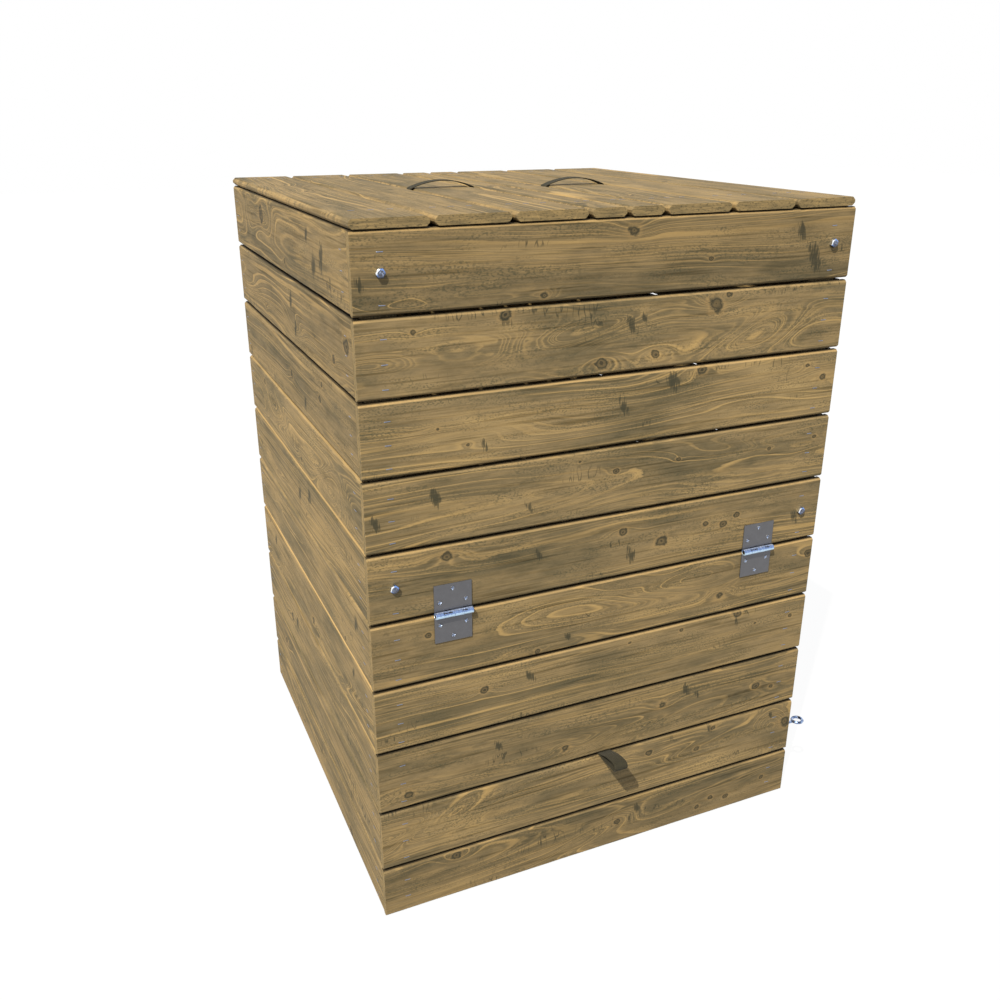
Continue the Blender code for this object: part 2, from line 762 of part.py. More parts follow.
def build_latch(pieces, flap_axis):
    """A wire hook on the side wall that drops into the eye at the flap's end."""
    attach(screw_eye("flap_screw_eye", EYE_Y, EYE_Z), flap_axis)
    screw_eye("hook_screw_eye", HOOK_EYE_Y, HOOK_AXIS_Z)
    bore = cylinder_mesh("eye_hole", EYE_WIRE_RADIUS + FIT, 2 * (EYE_SHANK_DEPTH + FIT), axis="X")
    flap_hole = add_cutter("flap_eye_hole", bore, place(BIN_WIDTH, EYE_Y, EYE_Z))
    wall_hole = add_cutter("wall_eye_hole", bore.copy(), place(BIN_WIDTH, HOOK_EYE_Y, HOOK_AXIS_Z))
    cut(pieces[f"flap_board_{FLAP_COURSES}"], flap_hole)
    cut(pieces["right_wall_panel"], wall_hole)
    slack = HOOK_RING_RADIUS - HOOK_WIRE_RADIUS - EYE_WIRE_RADIUS - FIT
    ring = ring_path(HOOK_RING_RADIUS, HOOK_BEND_RADIUS, -HOOK_REACH + slack + HOOK_TIP_BEND)
    path = [(slack - a, b) for a, b in reversed(ring)]
    corner = (HOOK_REACH - HOOK_TIP_BEND, HOOK_TIP_BEND)
    path += arc(corner, HOOK_TIP_BEND, -QUARTER_TURN, QUARTER_TURN, BEND_STEPS)[1:]
    path.append((HOOK_REACH, HOOK_TIP_LENGTH))
    axis_point = place(EYE_X, HOOK_AXIS_Y, HOOK_AXIS_Z)
    hook = wire("latch_hook", [(0.0, a, b) for a, b in path], HOOK_WIRE_RADIUS, axis_point)
    hook.rotation_euler = (HOOK_REST_TILT, 0.0, 0.0)


def main():
    pieces = build_walls()
    pieces.update(build_panels())
    pieces.update(build_battens())
    flap_axis = add_empty("flap_axis", place(BIN_WIDTH / 2, HINGE_AXIS_Y, HINGE_AXIS_Z))
    build_bolts(pieces)
    build_hinges(flap_axis)
    build_latch(pieces, flap_axis)
    for name, piece in pieces.items():
        if name.startswith("flap_"):
            attach(piece, flap_axis)
    attach(flap_strap(), flap_axis)
    for side in ("left", "right"):
        build_lid_half(side)


main()
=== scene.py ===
"""Looks for the wooden compost bin: stained boards, staples, zinc fittings and webbing."""

import json
import math
import random
from functools import partial

import bmesh
import bpy
from mathutils import Matrix, Vector


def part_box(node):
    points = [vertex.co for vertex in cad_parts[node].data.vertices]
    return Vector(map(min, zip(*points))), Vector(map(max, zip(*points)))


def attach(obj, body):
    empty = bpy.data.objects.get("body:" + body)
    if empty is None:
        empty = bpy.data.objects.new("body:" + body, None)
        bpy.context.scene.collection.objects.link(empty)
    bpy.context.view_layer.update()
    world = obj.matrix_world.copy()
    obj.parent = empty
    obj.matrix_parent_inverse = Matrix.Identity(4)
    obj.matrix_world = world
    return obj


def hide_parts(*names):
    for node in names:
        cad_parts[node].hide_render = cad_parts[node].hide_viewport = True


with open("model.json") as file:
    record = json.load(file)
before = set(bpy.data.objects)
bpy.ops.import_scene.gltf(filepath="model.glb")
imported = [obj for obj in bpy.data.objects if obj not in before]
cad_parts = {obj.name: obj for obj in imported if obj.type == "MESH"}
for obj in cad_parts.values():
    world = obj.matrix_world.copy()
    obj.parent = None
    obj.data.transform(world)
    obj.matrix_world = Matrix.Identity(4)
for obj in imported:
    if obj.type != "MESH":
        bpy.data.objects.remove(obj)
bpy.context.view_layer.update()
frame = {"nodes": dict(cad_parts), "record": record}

NODE_BODY = {
    node: body
    for body, nodes in frame["record"]["behaviour"]["bodies"].items()
    for node in nodes
}
AXES = {"x": Vector((1, 0, 0)), "y": Vector((0, 1, 0)), "z": Vector((0, 0, 1))}

# The bin's main planes, read from the frame
FRONT_LOW, FRONT_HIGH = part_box("front_board_1")
LEFT_LOW, LEFT_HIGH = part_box("left_wall_board_1")
WALL_LEFT = LEFT_LOW.x
WALL_RIGHT = FRONT_HIGH.x
WALL_FRONT = FRONT_LOW.y
WALL_REAR = LEFT_HIGH.y
WALL_TOP = FRONT_HIGH.z
BOARD_THICKNESS = FRONT_HIGH.y - FRONT_LOW.y
POST_LOW, POST_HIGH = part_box("corner_post_front_left")
COURSES = range(1, 11)


# Node graphs


class Value:
    """A node's output, which can be used in sums."""

    def __init__(self, graph, socket):
        self.graph = graph
        self.socket = socket

    def __add__(self, other):
        return self.graph.math("ADD", self, other)

    def __sub__(self, other):
        return self.graph.math("SUBTRACT", self, other)

    def __mul__(self, other):
        return self.graph.math("MULTIPLY", self, other)

    def __truediv__(self, other):
        return self.graph.math("DIVIDE", self, other)


class Graph:
    """The nodes of a material or a world, written as expressions."""

    def __init__(self, owner, output="ShaderNodeOutputMaterial"):
        self.owner = owner
        owner.use_nodes = True
        self.tree = owner.node_tree
        self.tree.nodes.clear()
        self.output = self.node(output)

    def feed(self, socket, value):
        if isinstance(value, Value):
            self.tree.links.new(value.socket, socket)
        elif isinstance(value, tuple) and socket.type == "RGBA":
            socket.default_value = (*value, 1.0)
        else:
            socket.default_value = value

    def node(self, kind, *values, named=None, **settings):
        """A new node, with values for its first inputs and for named ones."""
        made = self.tree.nodes.new(kind)
        for key, value in settings.items():
            setattr(made, key, value)
        for key, value in {**dict(enumerate(values)), **(named or {})}.items():
            self.feed(made.inputs[key], value)
        return made

    def value(self, kind, *values, output=0, **settings):
        """One output of a new node."""
        return Value(self, self.node(kind, *values, **settings).outputs[output])

    def math(self, operation, *values):
        return self.value("ShaderNodeMath", *values, operation=operation)

    def vector(self, operation, *values):
        return self.value("ShaderNodeVectorMath", *values, operation=operation)

    def split(self, vector):
        made = self.node("ShaderNodeSeparateXYZ", vector)
        return [Value(self, socket) for socket in made.outputs]

    def join(self, *values):
        return self.value("ShaderNodeCombineXYZ", *values)

    def attribute(self, name, output="Vector"):
        return self.value("ShaderNodeAttribute", output=output, attribute_name=name)

    def length(self, first, second):
        return self.math("SQRT", first * first + second * second)

    def noise(self, place, scale=None, detail=2.0, roughness=0.5, output="Fac"):
        """Noise at a place, with one scale or a scale for each axis."""
        if scale:
            scales = scale if isinstance(scale, tuple) else (scale, scale, scale)
            place = self.vector("MULTIPLY", place, scales)
        named = {"Scale": 1.0, "Detail": detail, "Roughness": roughness}
        return self.value("ShaderNodeTexNoise", place, output=output, named=named)

    def ramp(self, factor, *stops):
        """Stops are a position and a grey level or a colour."""
        made = self.node("ShaderNodeValToRGB", factor)
        elements = made.color_ramp.elements
        while len(elements) < len(stops):
            elements.new(0.5)
        for element, (position, colour) in zip(elements, stops):
            element.position = position
            element.color = (*colour, 1.0) if isinstance(colour, tuple) else (colour,) * 3 + (1.0,)
        return Value(self, made.outputs[0])

    def mix(self, factor, first, second, blend="MIX"):
        colours = {6: first, 7: second}
        settings = {"data_type": "RGBA", "blend_type": blend}
        return self.value("ShaderNodeMix", factor, output=2, named=colours, **settings)

    def shaded(self, colour, level):
        """The colour multiplied by a grey level."""
        return self.mix(1.0, colour, self.join(level, level, level), "MULTIPLY")

    def bump(self, height, strength, distance):
        named = {"Strength": strength, "Distance": distance, "Height": height}
        return self.value("ShaderNodeBump", named=named)

    def principled(self, colour, roughness, normal, more):
        """The material with a Principled surface; more holds further inputs by name."""
        named = {"Base Color": colour, "Roughness": roughness, "Normal": normal, **more}
        self.surface(self.value("ShaderNodeBsdfPrincipled", named=named))
        return self.owner

    def surface(self, shader):
        self.feed(self.output.inputs[0], shader)


def srgb(red, green, blue):
    def linear(value):
        value /= 255
        return value / 12.92 if value <= 0.04045 else ((value + 0.055) / 1.055) ** 2.4

    return linear(red), linear(green), linear(blue)


# Stained softwood. Each board carries its grain as attributes: "grain" is the place on it in
# metres, along, across and through; "pith" is where the tree's heart runs, and its tilt; knots and
# burrs, which are torn dark marks, are places and radii; loops, where the rings close on the face,
# are places, turns, sizes and amounts; "edge" is half the width and the painted light of the two
# long arrises, a painted highlight above 1 and painted shade below 1; "rim" is the depth below which
# an arris is painted dark with the shade of the gap between boards; "habit" is how far the rings
# wander, how broken the painted arris light is and how bold the lines are; "seed" differs on each
# board.

KNOTS = tuple(f"knot_{number}" for number in range(1, 7))
LOOPS = tuple(f"loop_{number}" for number in range(1, 4))
BURRS = tuple(f"burr_{number}" for number in range(1, 4))

RINGS_PER_METRE = 118.0
FINE_LINES_PER_RING = 3.0
LOOP_TAPER = 0.45

STAIN_SHADES = (
    (0.3, srgb(90, 83, 63)),
    (0.43, srgb(121, 107, 79)),
    (0.55, srgb(146, 126, 91)),
    (0.7, srgb(168, 144, 101)),
)
STREAK_SHADES = ((0.28, srgb(182, 180, 168)), (0.48, srgb(252, 252, 252)), (0.72, srgb(224, 221, 212)))
HEART_SHADES = (
    (0.05, srgb(58, 54, 42)),
    (0.18, srgb(108, 92, 64)),
    (0.42, srgb(92, 81, 58)),
    (0.62, srgb(50, 49, 39)),
    (0.95, srgb(72, 68, 51)),
)
END_SHADES = ((0.3, srgb(104, 92, 66)), (0.5, srgb(142, 122, 84)), (0.7, srgb(178, 150, 100)))
DIRT = srgb(86, 80, 59)
FINE_LINE = srgb(186, 156, 104)
BOLD_LINE = srgb(194, 161, 104)
SPECK = srgb(76, 75, 57)
CRACK = srgb(60, 59, 46)
KNOT_HALO = srgb(182, 148, 96)
# Painted highlight for arrises that face the light, and painted shade of the gaps between boards
ARRIS_HIGHLIGHT = srgb(186, 155, 104)
GAP_SHADE = srgb(34, 31, 24)
PORE = srgb(72, 67, 50)


class Wood(Graph):
    """A board's nodes: the place on it, and what its attributes say about its grain and the light painted on
    its arrises.
    """

    def __init__(self, name):
        super().__init__(bpy.data.materials.new(name))
        self.grain = self.attribute("grain")
        self.seed = self.attribute("seed")
        self.along, self.across, self.through = self.split(self.grain)
        self.wander, self.chatter, self.bold = self.split(self.attribute("habit"))

    def field(self, scales, offset, **settings):
        """Noise with a scale along, across and through the board, unlike from board to board."""
        place = self.vector("MULTIPLY", self.grain, scales)
        shift = self.vector("MULTIPLY", self.seed, (offset, offset, offset))
        return self.noise(self.vector("ADD", place, shift), **settings)

    def heart_distance(self):
        """Distance from the tree's heart, which wanders slowly along the board."""
        pith_across, pith_depth, pith_tilt = self.split(self.attribute("pith"))
        first, second, _ = self.split(self.field((2.1, 9.0, 9.0), 1.0, detail=1.5, output="Color"))
        side = self.across - pith_across + (first * 0.05 - 0.025) * self.wander
        depth = self.through - pith_depth + (second * 0.056 - 0.028) * self.wander
        return self.length(side, depth + self.along * pith_tilt)

    def from_mark(self, name):
        """The way from a mark, along and up the board, and the mark's third number."""
        along, across, third = self.split(self.attribute(name))
        return self.along - along, self.across - across, third

    def loop(self, name):
        """How far a loop swells the rings: a turned bell that widens to one end."""
        run, rise, turn = self.from_mark(name)
        reach, half, amount = self.split(self.attribute(f"{name}_size"))
        cosine = self.math("COSINE", turn)
        sine = self.math("SINE", turn)
        p = (run * cosine + rise * sine) / reach
        q = (rise * cosine - run * sine) / (half * (self.math("TANH", p) * LOOP_TAPER + 1.0))
        return self.math("EXPONENT", (p * p + q * q) * -1.0) * amount

    def knot(self, name):
        """Distance from a knot in its radii, and how far it swells the rings."""
        run, rise, radius = self.from_mark(name)
        run = run * 0.8
        distance = self.length(run, rise) / radius
        run = run * 0.55
        spread = (run * run + rise * rise) / (radius * radius)
        return distance, self.math("EXPONENT", spread * -0.2) * radius * 1.5

    def burr(self, name):
        """Distance from a burr in its radii: the burr is narrow and leans."""
        run, rise, radius = self.from_mark(name)
        return self.length((rise * 0.3 + run) * 1.75, rise) / radius

    def least(self, values):
        found = values[0]
        for value in values[1:]:
            found = self.math("MINIMUM", found, value)
        return found


def ring_lines(g, radius):
    """Growth rings: bold pale lines, the shade beside them, and finer bundles of lines."""
    ripple = g.field((7.0, 62.0, 62.0), 5.0, detail=3.0, roughness=0.6)
    unequal = g.noise(g.vector("ADD", g.join(radius * 85.0, 0.0, 0.0), g.seed), detail=1.0)
    turns = radius * RINGS_PER_METRE + unequal * 3.0 + ripple * 0.42
    phase = g.math("FRACT", turns)
    strong = g.ramp(g.field((2.9, 17.0, 17.0), 7.0), (0.41, 0.05), (0.6, 1.0)) * g.bold
    line = g.ramp(phase, (0.0, 0.0), (0.79, 0.0), (0.88, 0.8), (0.93, 1.0), (0.98, 0.55), (1.0, 0.0))
    shade = g.ramp(phase, (0.0, 0.9), (0.16, 0.6), (0.42, 0.0), (0.66, 0.0), (0.76, 0.55), (0.86, 0.0))
    fine = g.math("FRACT", turns * FINE_LINES_PER_RING + ripple * 1.2)
    fine = g.ramp(fine, (0.0, 0.25), (0.15, 0.0), (0.5, 0.1), (0.8, 0.85), (0.9, 1.0), (1.0, 0.25))
    bundle = g.ramp(g.field((2.3, 24.0, 24.0), 19.0), (0.41, 0.12), (0.59, 1.0))
    return line * strong, shade * strong, fine * bundle


def stain(g, line, shade, fine, smear):
    """Cloudy brown stain, smeared and streaked, thin on the pale lines and speckled in patches."""
    cloud = g.field((4.0, 15.0, 15.0), 9.0, detail=6.0, roughness=0.68)
    worn = g.ramp(cloud, (0.34, 1.0), (0.66, 0.3))
    dirty = g.ramp(smear, (0.5, 0.0), (0.68, 0.62)) * worn
    dirty = g.math("MAXIMUM", dirty, shade * 0.6)
    colour = g.mix(dirty, g.ramp(cloud, *STAIN_SHADES), DIRT)
    streak = g.field((6.0, 230.0, 230.0), 13.0)
    colour = g.mix(1.0, colour, g.ramp(streak, *STREAK_SHADES), "MULTIPLY")
    colour = g.mix(fine * 0.56, colour, FINE_LINE)
    colour = g.mix(line * 0.8, colour, BOLD_LINE)
    patch = g.ramp(g.field((9.0, 42.0, 42.0), 23.0, detail=3.0, roughness=0.6), (0.46, 0.0), (0.62, 1.0))
    speck = g.field((330.0, 560.0, 560.0), 17.0, detail=0.0)
    specks = g.ramp(speck, (0.52, 0.0), (0.66, 0.62)) * (patch * 0.85 + 0.08)
    specks = specks * (line * -0.7 + 1.0)
    return g.mix(specks, colour, SPECK), specks


def cracks(g):
    """Thin cracks, here and there."""
    crack = g.field((62.0, 15.0, 15.0), 21.0, roughness=0.55)
    off = g.math("ABSOLUTE", crack - 0.5) * 10.0
    rare = g.ramp(g.field((5.5, 21.0, 21.0), 25.0, detail=2.5), (0.62, 0.0), (0.67, 0.8))
    return g.ramp(off, (0.0, 1.0), (0.09, 0.8), (0.2, 0.0)) * rare


def torn_marks(g, warp):
    """Burrs: dark marks combed out along the saw's teeth."""
    comb = g.field((520.0, 70.0, 70.0), 29.0, detail=1.5, roughness=0.6)
    torn = g.least([g.burr(burr) for burr in BURRS]) + (comb * 3.6 - 1.8) + (warp * 1.8 - 0.9)
    return g.ramp(torn / 3.0, (0.14, 0.85), (0.34, 0.66), (0.48, 0.0))


def arrises(g, colour):
    """The long arrises: painted highlights, broken in places, on arrises that face the light, painted shade
    on those that face away, and painted shade of the gap between boards below the rim.
    """
    half_width, upper_arris_light, lower_arris_light = g.split(g.attribute("edge"))
    arris_light_breaks = g.ramp(g.field((95.0, 40.0, 40.0), 31.0, detail=3.0, roughness=0.7), (0.4, 0.0), (0.58, 1.0))
    lengths = g.ramp(g.field((7.0, 20.0, 20.0), 37.0, detail=1.0), (0.4, 0.15), (0.55, 1.0))
    arris_light_breaks = (arris_light_breaks * lengths - 1.0) * g.chatter + 1.0
    sunk = g.attribute("rim", "Fac") - g.math("ABSOLUTE", g.through)
    sunk = g.ramp(sunk * 200.0 + 0.3, (0.26, 0.0), (0.44, 0.85))
    for way, tone in ((1.0, upper_arris_light), (-1.0, lower_arris_light)):
        beyond = g.across * way - half_width
        on_edge = g.ramp(beyond * 100.0 + 0.5, (0.17, 0.0), (0.22, 1.0))
        arris_light = on_edge * (tone - 1.0) * arris_light_breaks
        # Painted shade where the arris light is below 1 and a painted highlight where it is above 1, then
        # painted shade of the gap between boards below the rim
        colour = g.shaded(colour, g.math("MINIMUM", arris_light, 0.0) + 1.0)
        colour = g.mix(g.math("MAXIMUM", arris_light, 0.0), colour, ARRIS_HIGHLIGHT)
        colour = g.mix(on_edge * sunk, colour, GAP_SHADE)
    return colour


def wood(name, end_grain=False):
    g = Wood(name)
    radius = g.heart_distance()
    for loop in LOOPS:
        radius = radius + g.loop(loop)
    distances = []
    for knot in KNOTS:
        distance, swell = g.knot(knot)
        distances.append(distance)
        radius = radius + swell
    line, shade, fine = ring_lines(g, radius)
    smear = g.field((20.0, 75.0, 75.0), 11.0, detail=4.0, roughness=0.72)
    colour, specks = stain(g, line, shade, fine, smear)
    warp = g.field((45.0, 60.0, 60.0), 27.0, detail=1.0)
    split = cracks(g)
    colour = g.mix(g.math("MAXIMUM", split, torn_marks(g, warp)), colour, CRACK)

    # Knots: a broken dark ring, a brown heart and a pale ring where the grain swells past
    wobble = g.field((150.0, 190.0, 190.0), 3.0, roughness=0.65)
    nearest = g.least(distances) + (wobble * 1.1 - 0.55) + (warp * 2.0 - 1.0)
    halo = g.ramp(nearest / 4.0, (0.24, 0.0), (0.33, 0.28), (0.44, 0.08), (0.56, 0.0))
    colour = g.mix(halo, colour, KNOT_HALO)
    core = g.ramp(nearest / 2.0, (0.42, 0.86), (0.62, 0.0))
    colour = g.mix(core, colour, g.ramp(nearest / 1.2, *HEART_SHADES))
    colour = arrises(g, colour)
    # Each board's tone; on the front it also carries a painted pool of light
    colour = g.shaded(colour, g.attribute("tone", "Fac"))
    if end_grain:
        bands = g.field((0.0, 34.0, 620.0), 33.0, detail=3.0, roughness=0.6)
        pores = g.field((0.0, 240.0, 700.0), 35.0)
        colour = g.mix(0.72, colour, g.ramp(bands, *END_SHADES))
        colour = g.mix(g.ramp(pores, (0.56, 0.0), (0.68, 0.75)), colour, PORE)

    fibre = g.field((30.0, 1300.0, 1300.0), 15.0, detail=1.0)
    height = line * 0.55 + fibre * 0.45 - specks * 0.6 - g.math("MAXIMUM", core, split) * 0.4
    roughness = line * -0.08 + (smear * 0.16 + 0.68)
    return g.principled(colour, roughness, g.bump(height, 0.6, 0.00035), {"Specular IOR Level": 0.18})


WOOD = wood("stained_wood")
WOOD_END = wood("stained_wood_end_grain", end_grain=True)


# Meshes and objects


def linked(name, data):
    """A new object in the scene."""
    item = bpy.data.objects.new(name, data)
    bpy.context.scene.collection.objects.link(item)
    return item


def mesh_data(name, shape, *materials):
    data = bpy.data.meshes.new(name)
    shape.to_mesh(data)
    shape.free()
    for material in materials:
        data.materials.append(material)
    return data


def new_piece(name, data, body):
    """A dressed piece that rides a body."""
    item = linked(name, data)
    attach(item, body)
    return item


def smooth_piece(name, shape, material, body):
    data = mesh_data(name, shape, material)
    data.shade_smooth()
    data.set_sharp_from_angle(angle=math.radians(42))
    return new_piece(name, data, body)


def fill_attribute(mesh, name, values):
    """One vector or number for each vertex."""
    if isinstance(values[0], tuple):
        layer = mesh.attributes.new(name, "FLOAT_VECTOR", "POINT")
        layer.data.foreach_set("vector", [number for value in values for number in value])
    else:
        layer = mesh.attributes.new(name, "FLOAT", "POINT")
        layer.data.foreach_set("value", values)


def join_rings(shape, rings):
    """Faces from each ring of vertices to the next, and the two caps, which are returned."""
    for first, second in zip(rings, rings[1:]):
        for index in range(len(first)):
            follow = (index + 1) % len(first)
            shape.faces.new((first[index], first[follow], second[follow], second[index]))
    return [shape.faces.new(ring) for ring in (rings[0], rings[-1])]


# Boards

WALL_CHAMFER = 0.003
BOARD_FILLET = 0.0005
CHAMFER_SWING = 0.045
BOARD_STEP = 0.022
END_ARRIS = 0.0004
END_INSET = 0.0003

# Fill for the marks and loops that a board doesn't use: far off the board
NO_MARK = (9.0, 9.0, 0.0001)
NO_LOOP = (9.0, 9.0, 0.0, 0.01, 0.01, 0.0)


def octagon(half_width, half_thick, cuts, fillet):
    """Board profile: chamfer sizes for its four corners, each arris softened by a fillet."""
    corners = []
    for (sign_v, sign_w), cut in zip(((1, 1), (1, -1), (-1, -1), (-1, 1)), cuts):
        first = Vector((sign_v * (half_width - cut), sign_w * half_thick))
        second = Vector((sign_v * half_width, sign_w * (half_thick - cut)))
        corners += [first, second] if sign_v * sign_w > 0 else [second, first]
    points = []
    for index, corner in enumerate(corners):
        before = corners[index - 1]
        after = corners[(index + 1) % len(corners)]
        points.append(corner + (before - corner).normalized() * fillet)
        points.append(corner + (after - corner).normalized() * fillet)
    return points


def random_marks(luck, counts, length, width, spread, radii):
    """Knots or burrs at random places."""
    found = []
    for _ in range(luck.choice(counts)):
        u = luck.uniform(-0.46, 0.46) * length
        v = luck.uniform(-spread, spread) * width
        found.append((u, v, luck.uniform(*radii)))
    return found


def random_loops(luck, length, width):
    """Up to two places where the rings close on the face."""
    found = []
    for _ in range(luck.choice((0, 0, 1, 1, 2))):
        u = luck.uniform(-0.44, 0.44) * length
        v = luck.uniform(-0.4, 0.4) * width
        turn = luck.uniform(-0.25, 0.25) + luck.choice((0.0, math.pi))
        reach = luck.uniform(0.04, 0.12)
        found.append((u, v, turn, reach, reach * luck.uniform(0.14, 0.26), luck.uniform(0.01, 0.034)))
    return found


def random_look(luck, length, width):
    """A board's grain, and the light painted on its arrises, where nothing more is known about it."""
    seed = tuple(luck.uniform(-9, 9) for _ in range(3))
    depth = -luck.uniform(0.022, 0.06) * luck.choice((1, 1, -1))
    return {
        "seed": seed,
        "pith": (luck.uniform(-0.075, 0.075), depth, luck.uniform(0.004, 0.03) * luck.choice((1, -1))),
        "knots": random_marks(luck, (1, 1, 2, 2, 3, 4), length, width, 0.4, (0.0025, 0.007)),
        "loops": random_loops(luck, length, width),
        "burrs": random_marks(luck, (0, 0, 1, 1, 2), length, width, 0.3, (0.005, 0.0105)),
        "edge": (luck.uniform(0.8, 1.1), luck.uniform(0.8, 1.0)),
        "tone": luck.uniform(0.93, 1.07),
        "habit": (0.62, 0.0, 0.85),
        "rim": 0.0,
        "narrow": 0.0,
    }


def grain_attributes(look, width):
    """What the wood material reads, by the attributes' names."""
    values = {key: look[key] for key in ("seed", "pith", "tone", "rim", "habit")}
    values["edge"] = (width / 2 + look["narrow"], *look["edge"])
    values.update(zip(KNOTS, [*look["knots"], *[NO_MARK] * len(KNOTS)]))
    values.update(zip(BURRS, [*look["burrs"], *[NO_MARK] * len(BURRS)]))
    for loop, value in zip(LOOPS, [*look["loops"], *[NO_LOOP] * len(LOOPS)]):
        values[loop] = value[:3]
        values[f"{loop}_size"] = value[3:]
    return values


def board(name, low, high, out, body, node=None, chamfer=WALL_CHAMFER, slot="wall_wood", **look):
    """A board with softened, slightly uneven arrises, its grain and the light painted on its arrises stored
    as attributes.
    """
    luck = random.Random(name)
    size = high - low
    w_name = out[1]
    u_name, v_name = sorted((axis for axis in "xyz" if axis != w_name), key=lambda a: -getattr(size, a))
    axis_u = AXES[u_name]
    axis_v = AXES[v_name]
    axis_w = AXES[w_name] * (-1 if out[0] == "-" else 1)
    length = getattr(size, u_name)
    width = getattr(size, v_name)
    thick = getattr(size, w_name)
    centre = (low + high) / 2
    steps = max(2, round(length / BOARD_STEP))
    stations = [-length / 2, -length / 2 + END_ARRIS]
    stations += [-length / 2 + length * index / steps for index in range(1, steps)]
    stations += [length / 2 - END_ARRIS, length / 2]
    wave = [luck.uniform(0, 7) for _ in range(8)]
    shape = bmesh.new()
    rings = []
    grain = []
    for index, u in enumerate(stations):
        inset = END_INSET if index in (0, len(stations) - 1) else 0.0
        cuts = []
        for corner in range(4):
            swing = math.sin(u * 31 + wave[corner]) + 0.6 * math.sin(u * 83 + wave[corner + 4])
            cuts.append(chamfer * (1 + CHAMFER_SWING * swing))
        ring = []
        fillet = min(BOARD_FILLET, chamfer / 4)
        for point in octagon(width / 2 - inset, thick / 2 - inset, cuts, fillet):
            ring.append(shape.verts.new(centre + axis_u * u + axis_v * point.x + axis_w * point.y))
            grain.append((u, point.x, point.y))
        rings.append(ring)
    for cap in join_rings(shape, rings):
        cap.material_index = 1
    bmesh.ops.recalc_face_normals(shape, faces=shape.faces)
    data = mesh_data(name, shape, WOOD, WOOD_END)
    fill_attribute(data, "grain", grain)
    look = {**random_look(luck, length, width), **look}
    for key, value in grain_attributes(look, width).items():
        fill_attribute(data, key, [value] * len(grain))
    item = new_piece(name, data, body)
    if node:
        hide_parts(node)
    return item
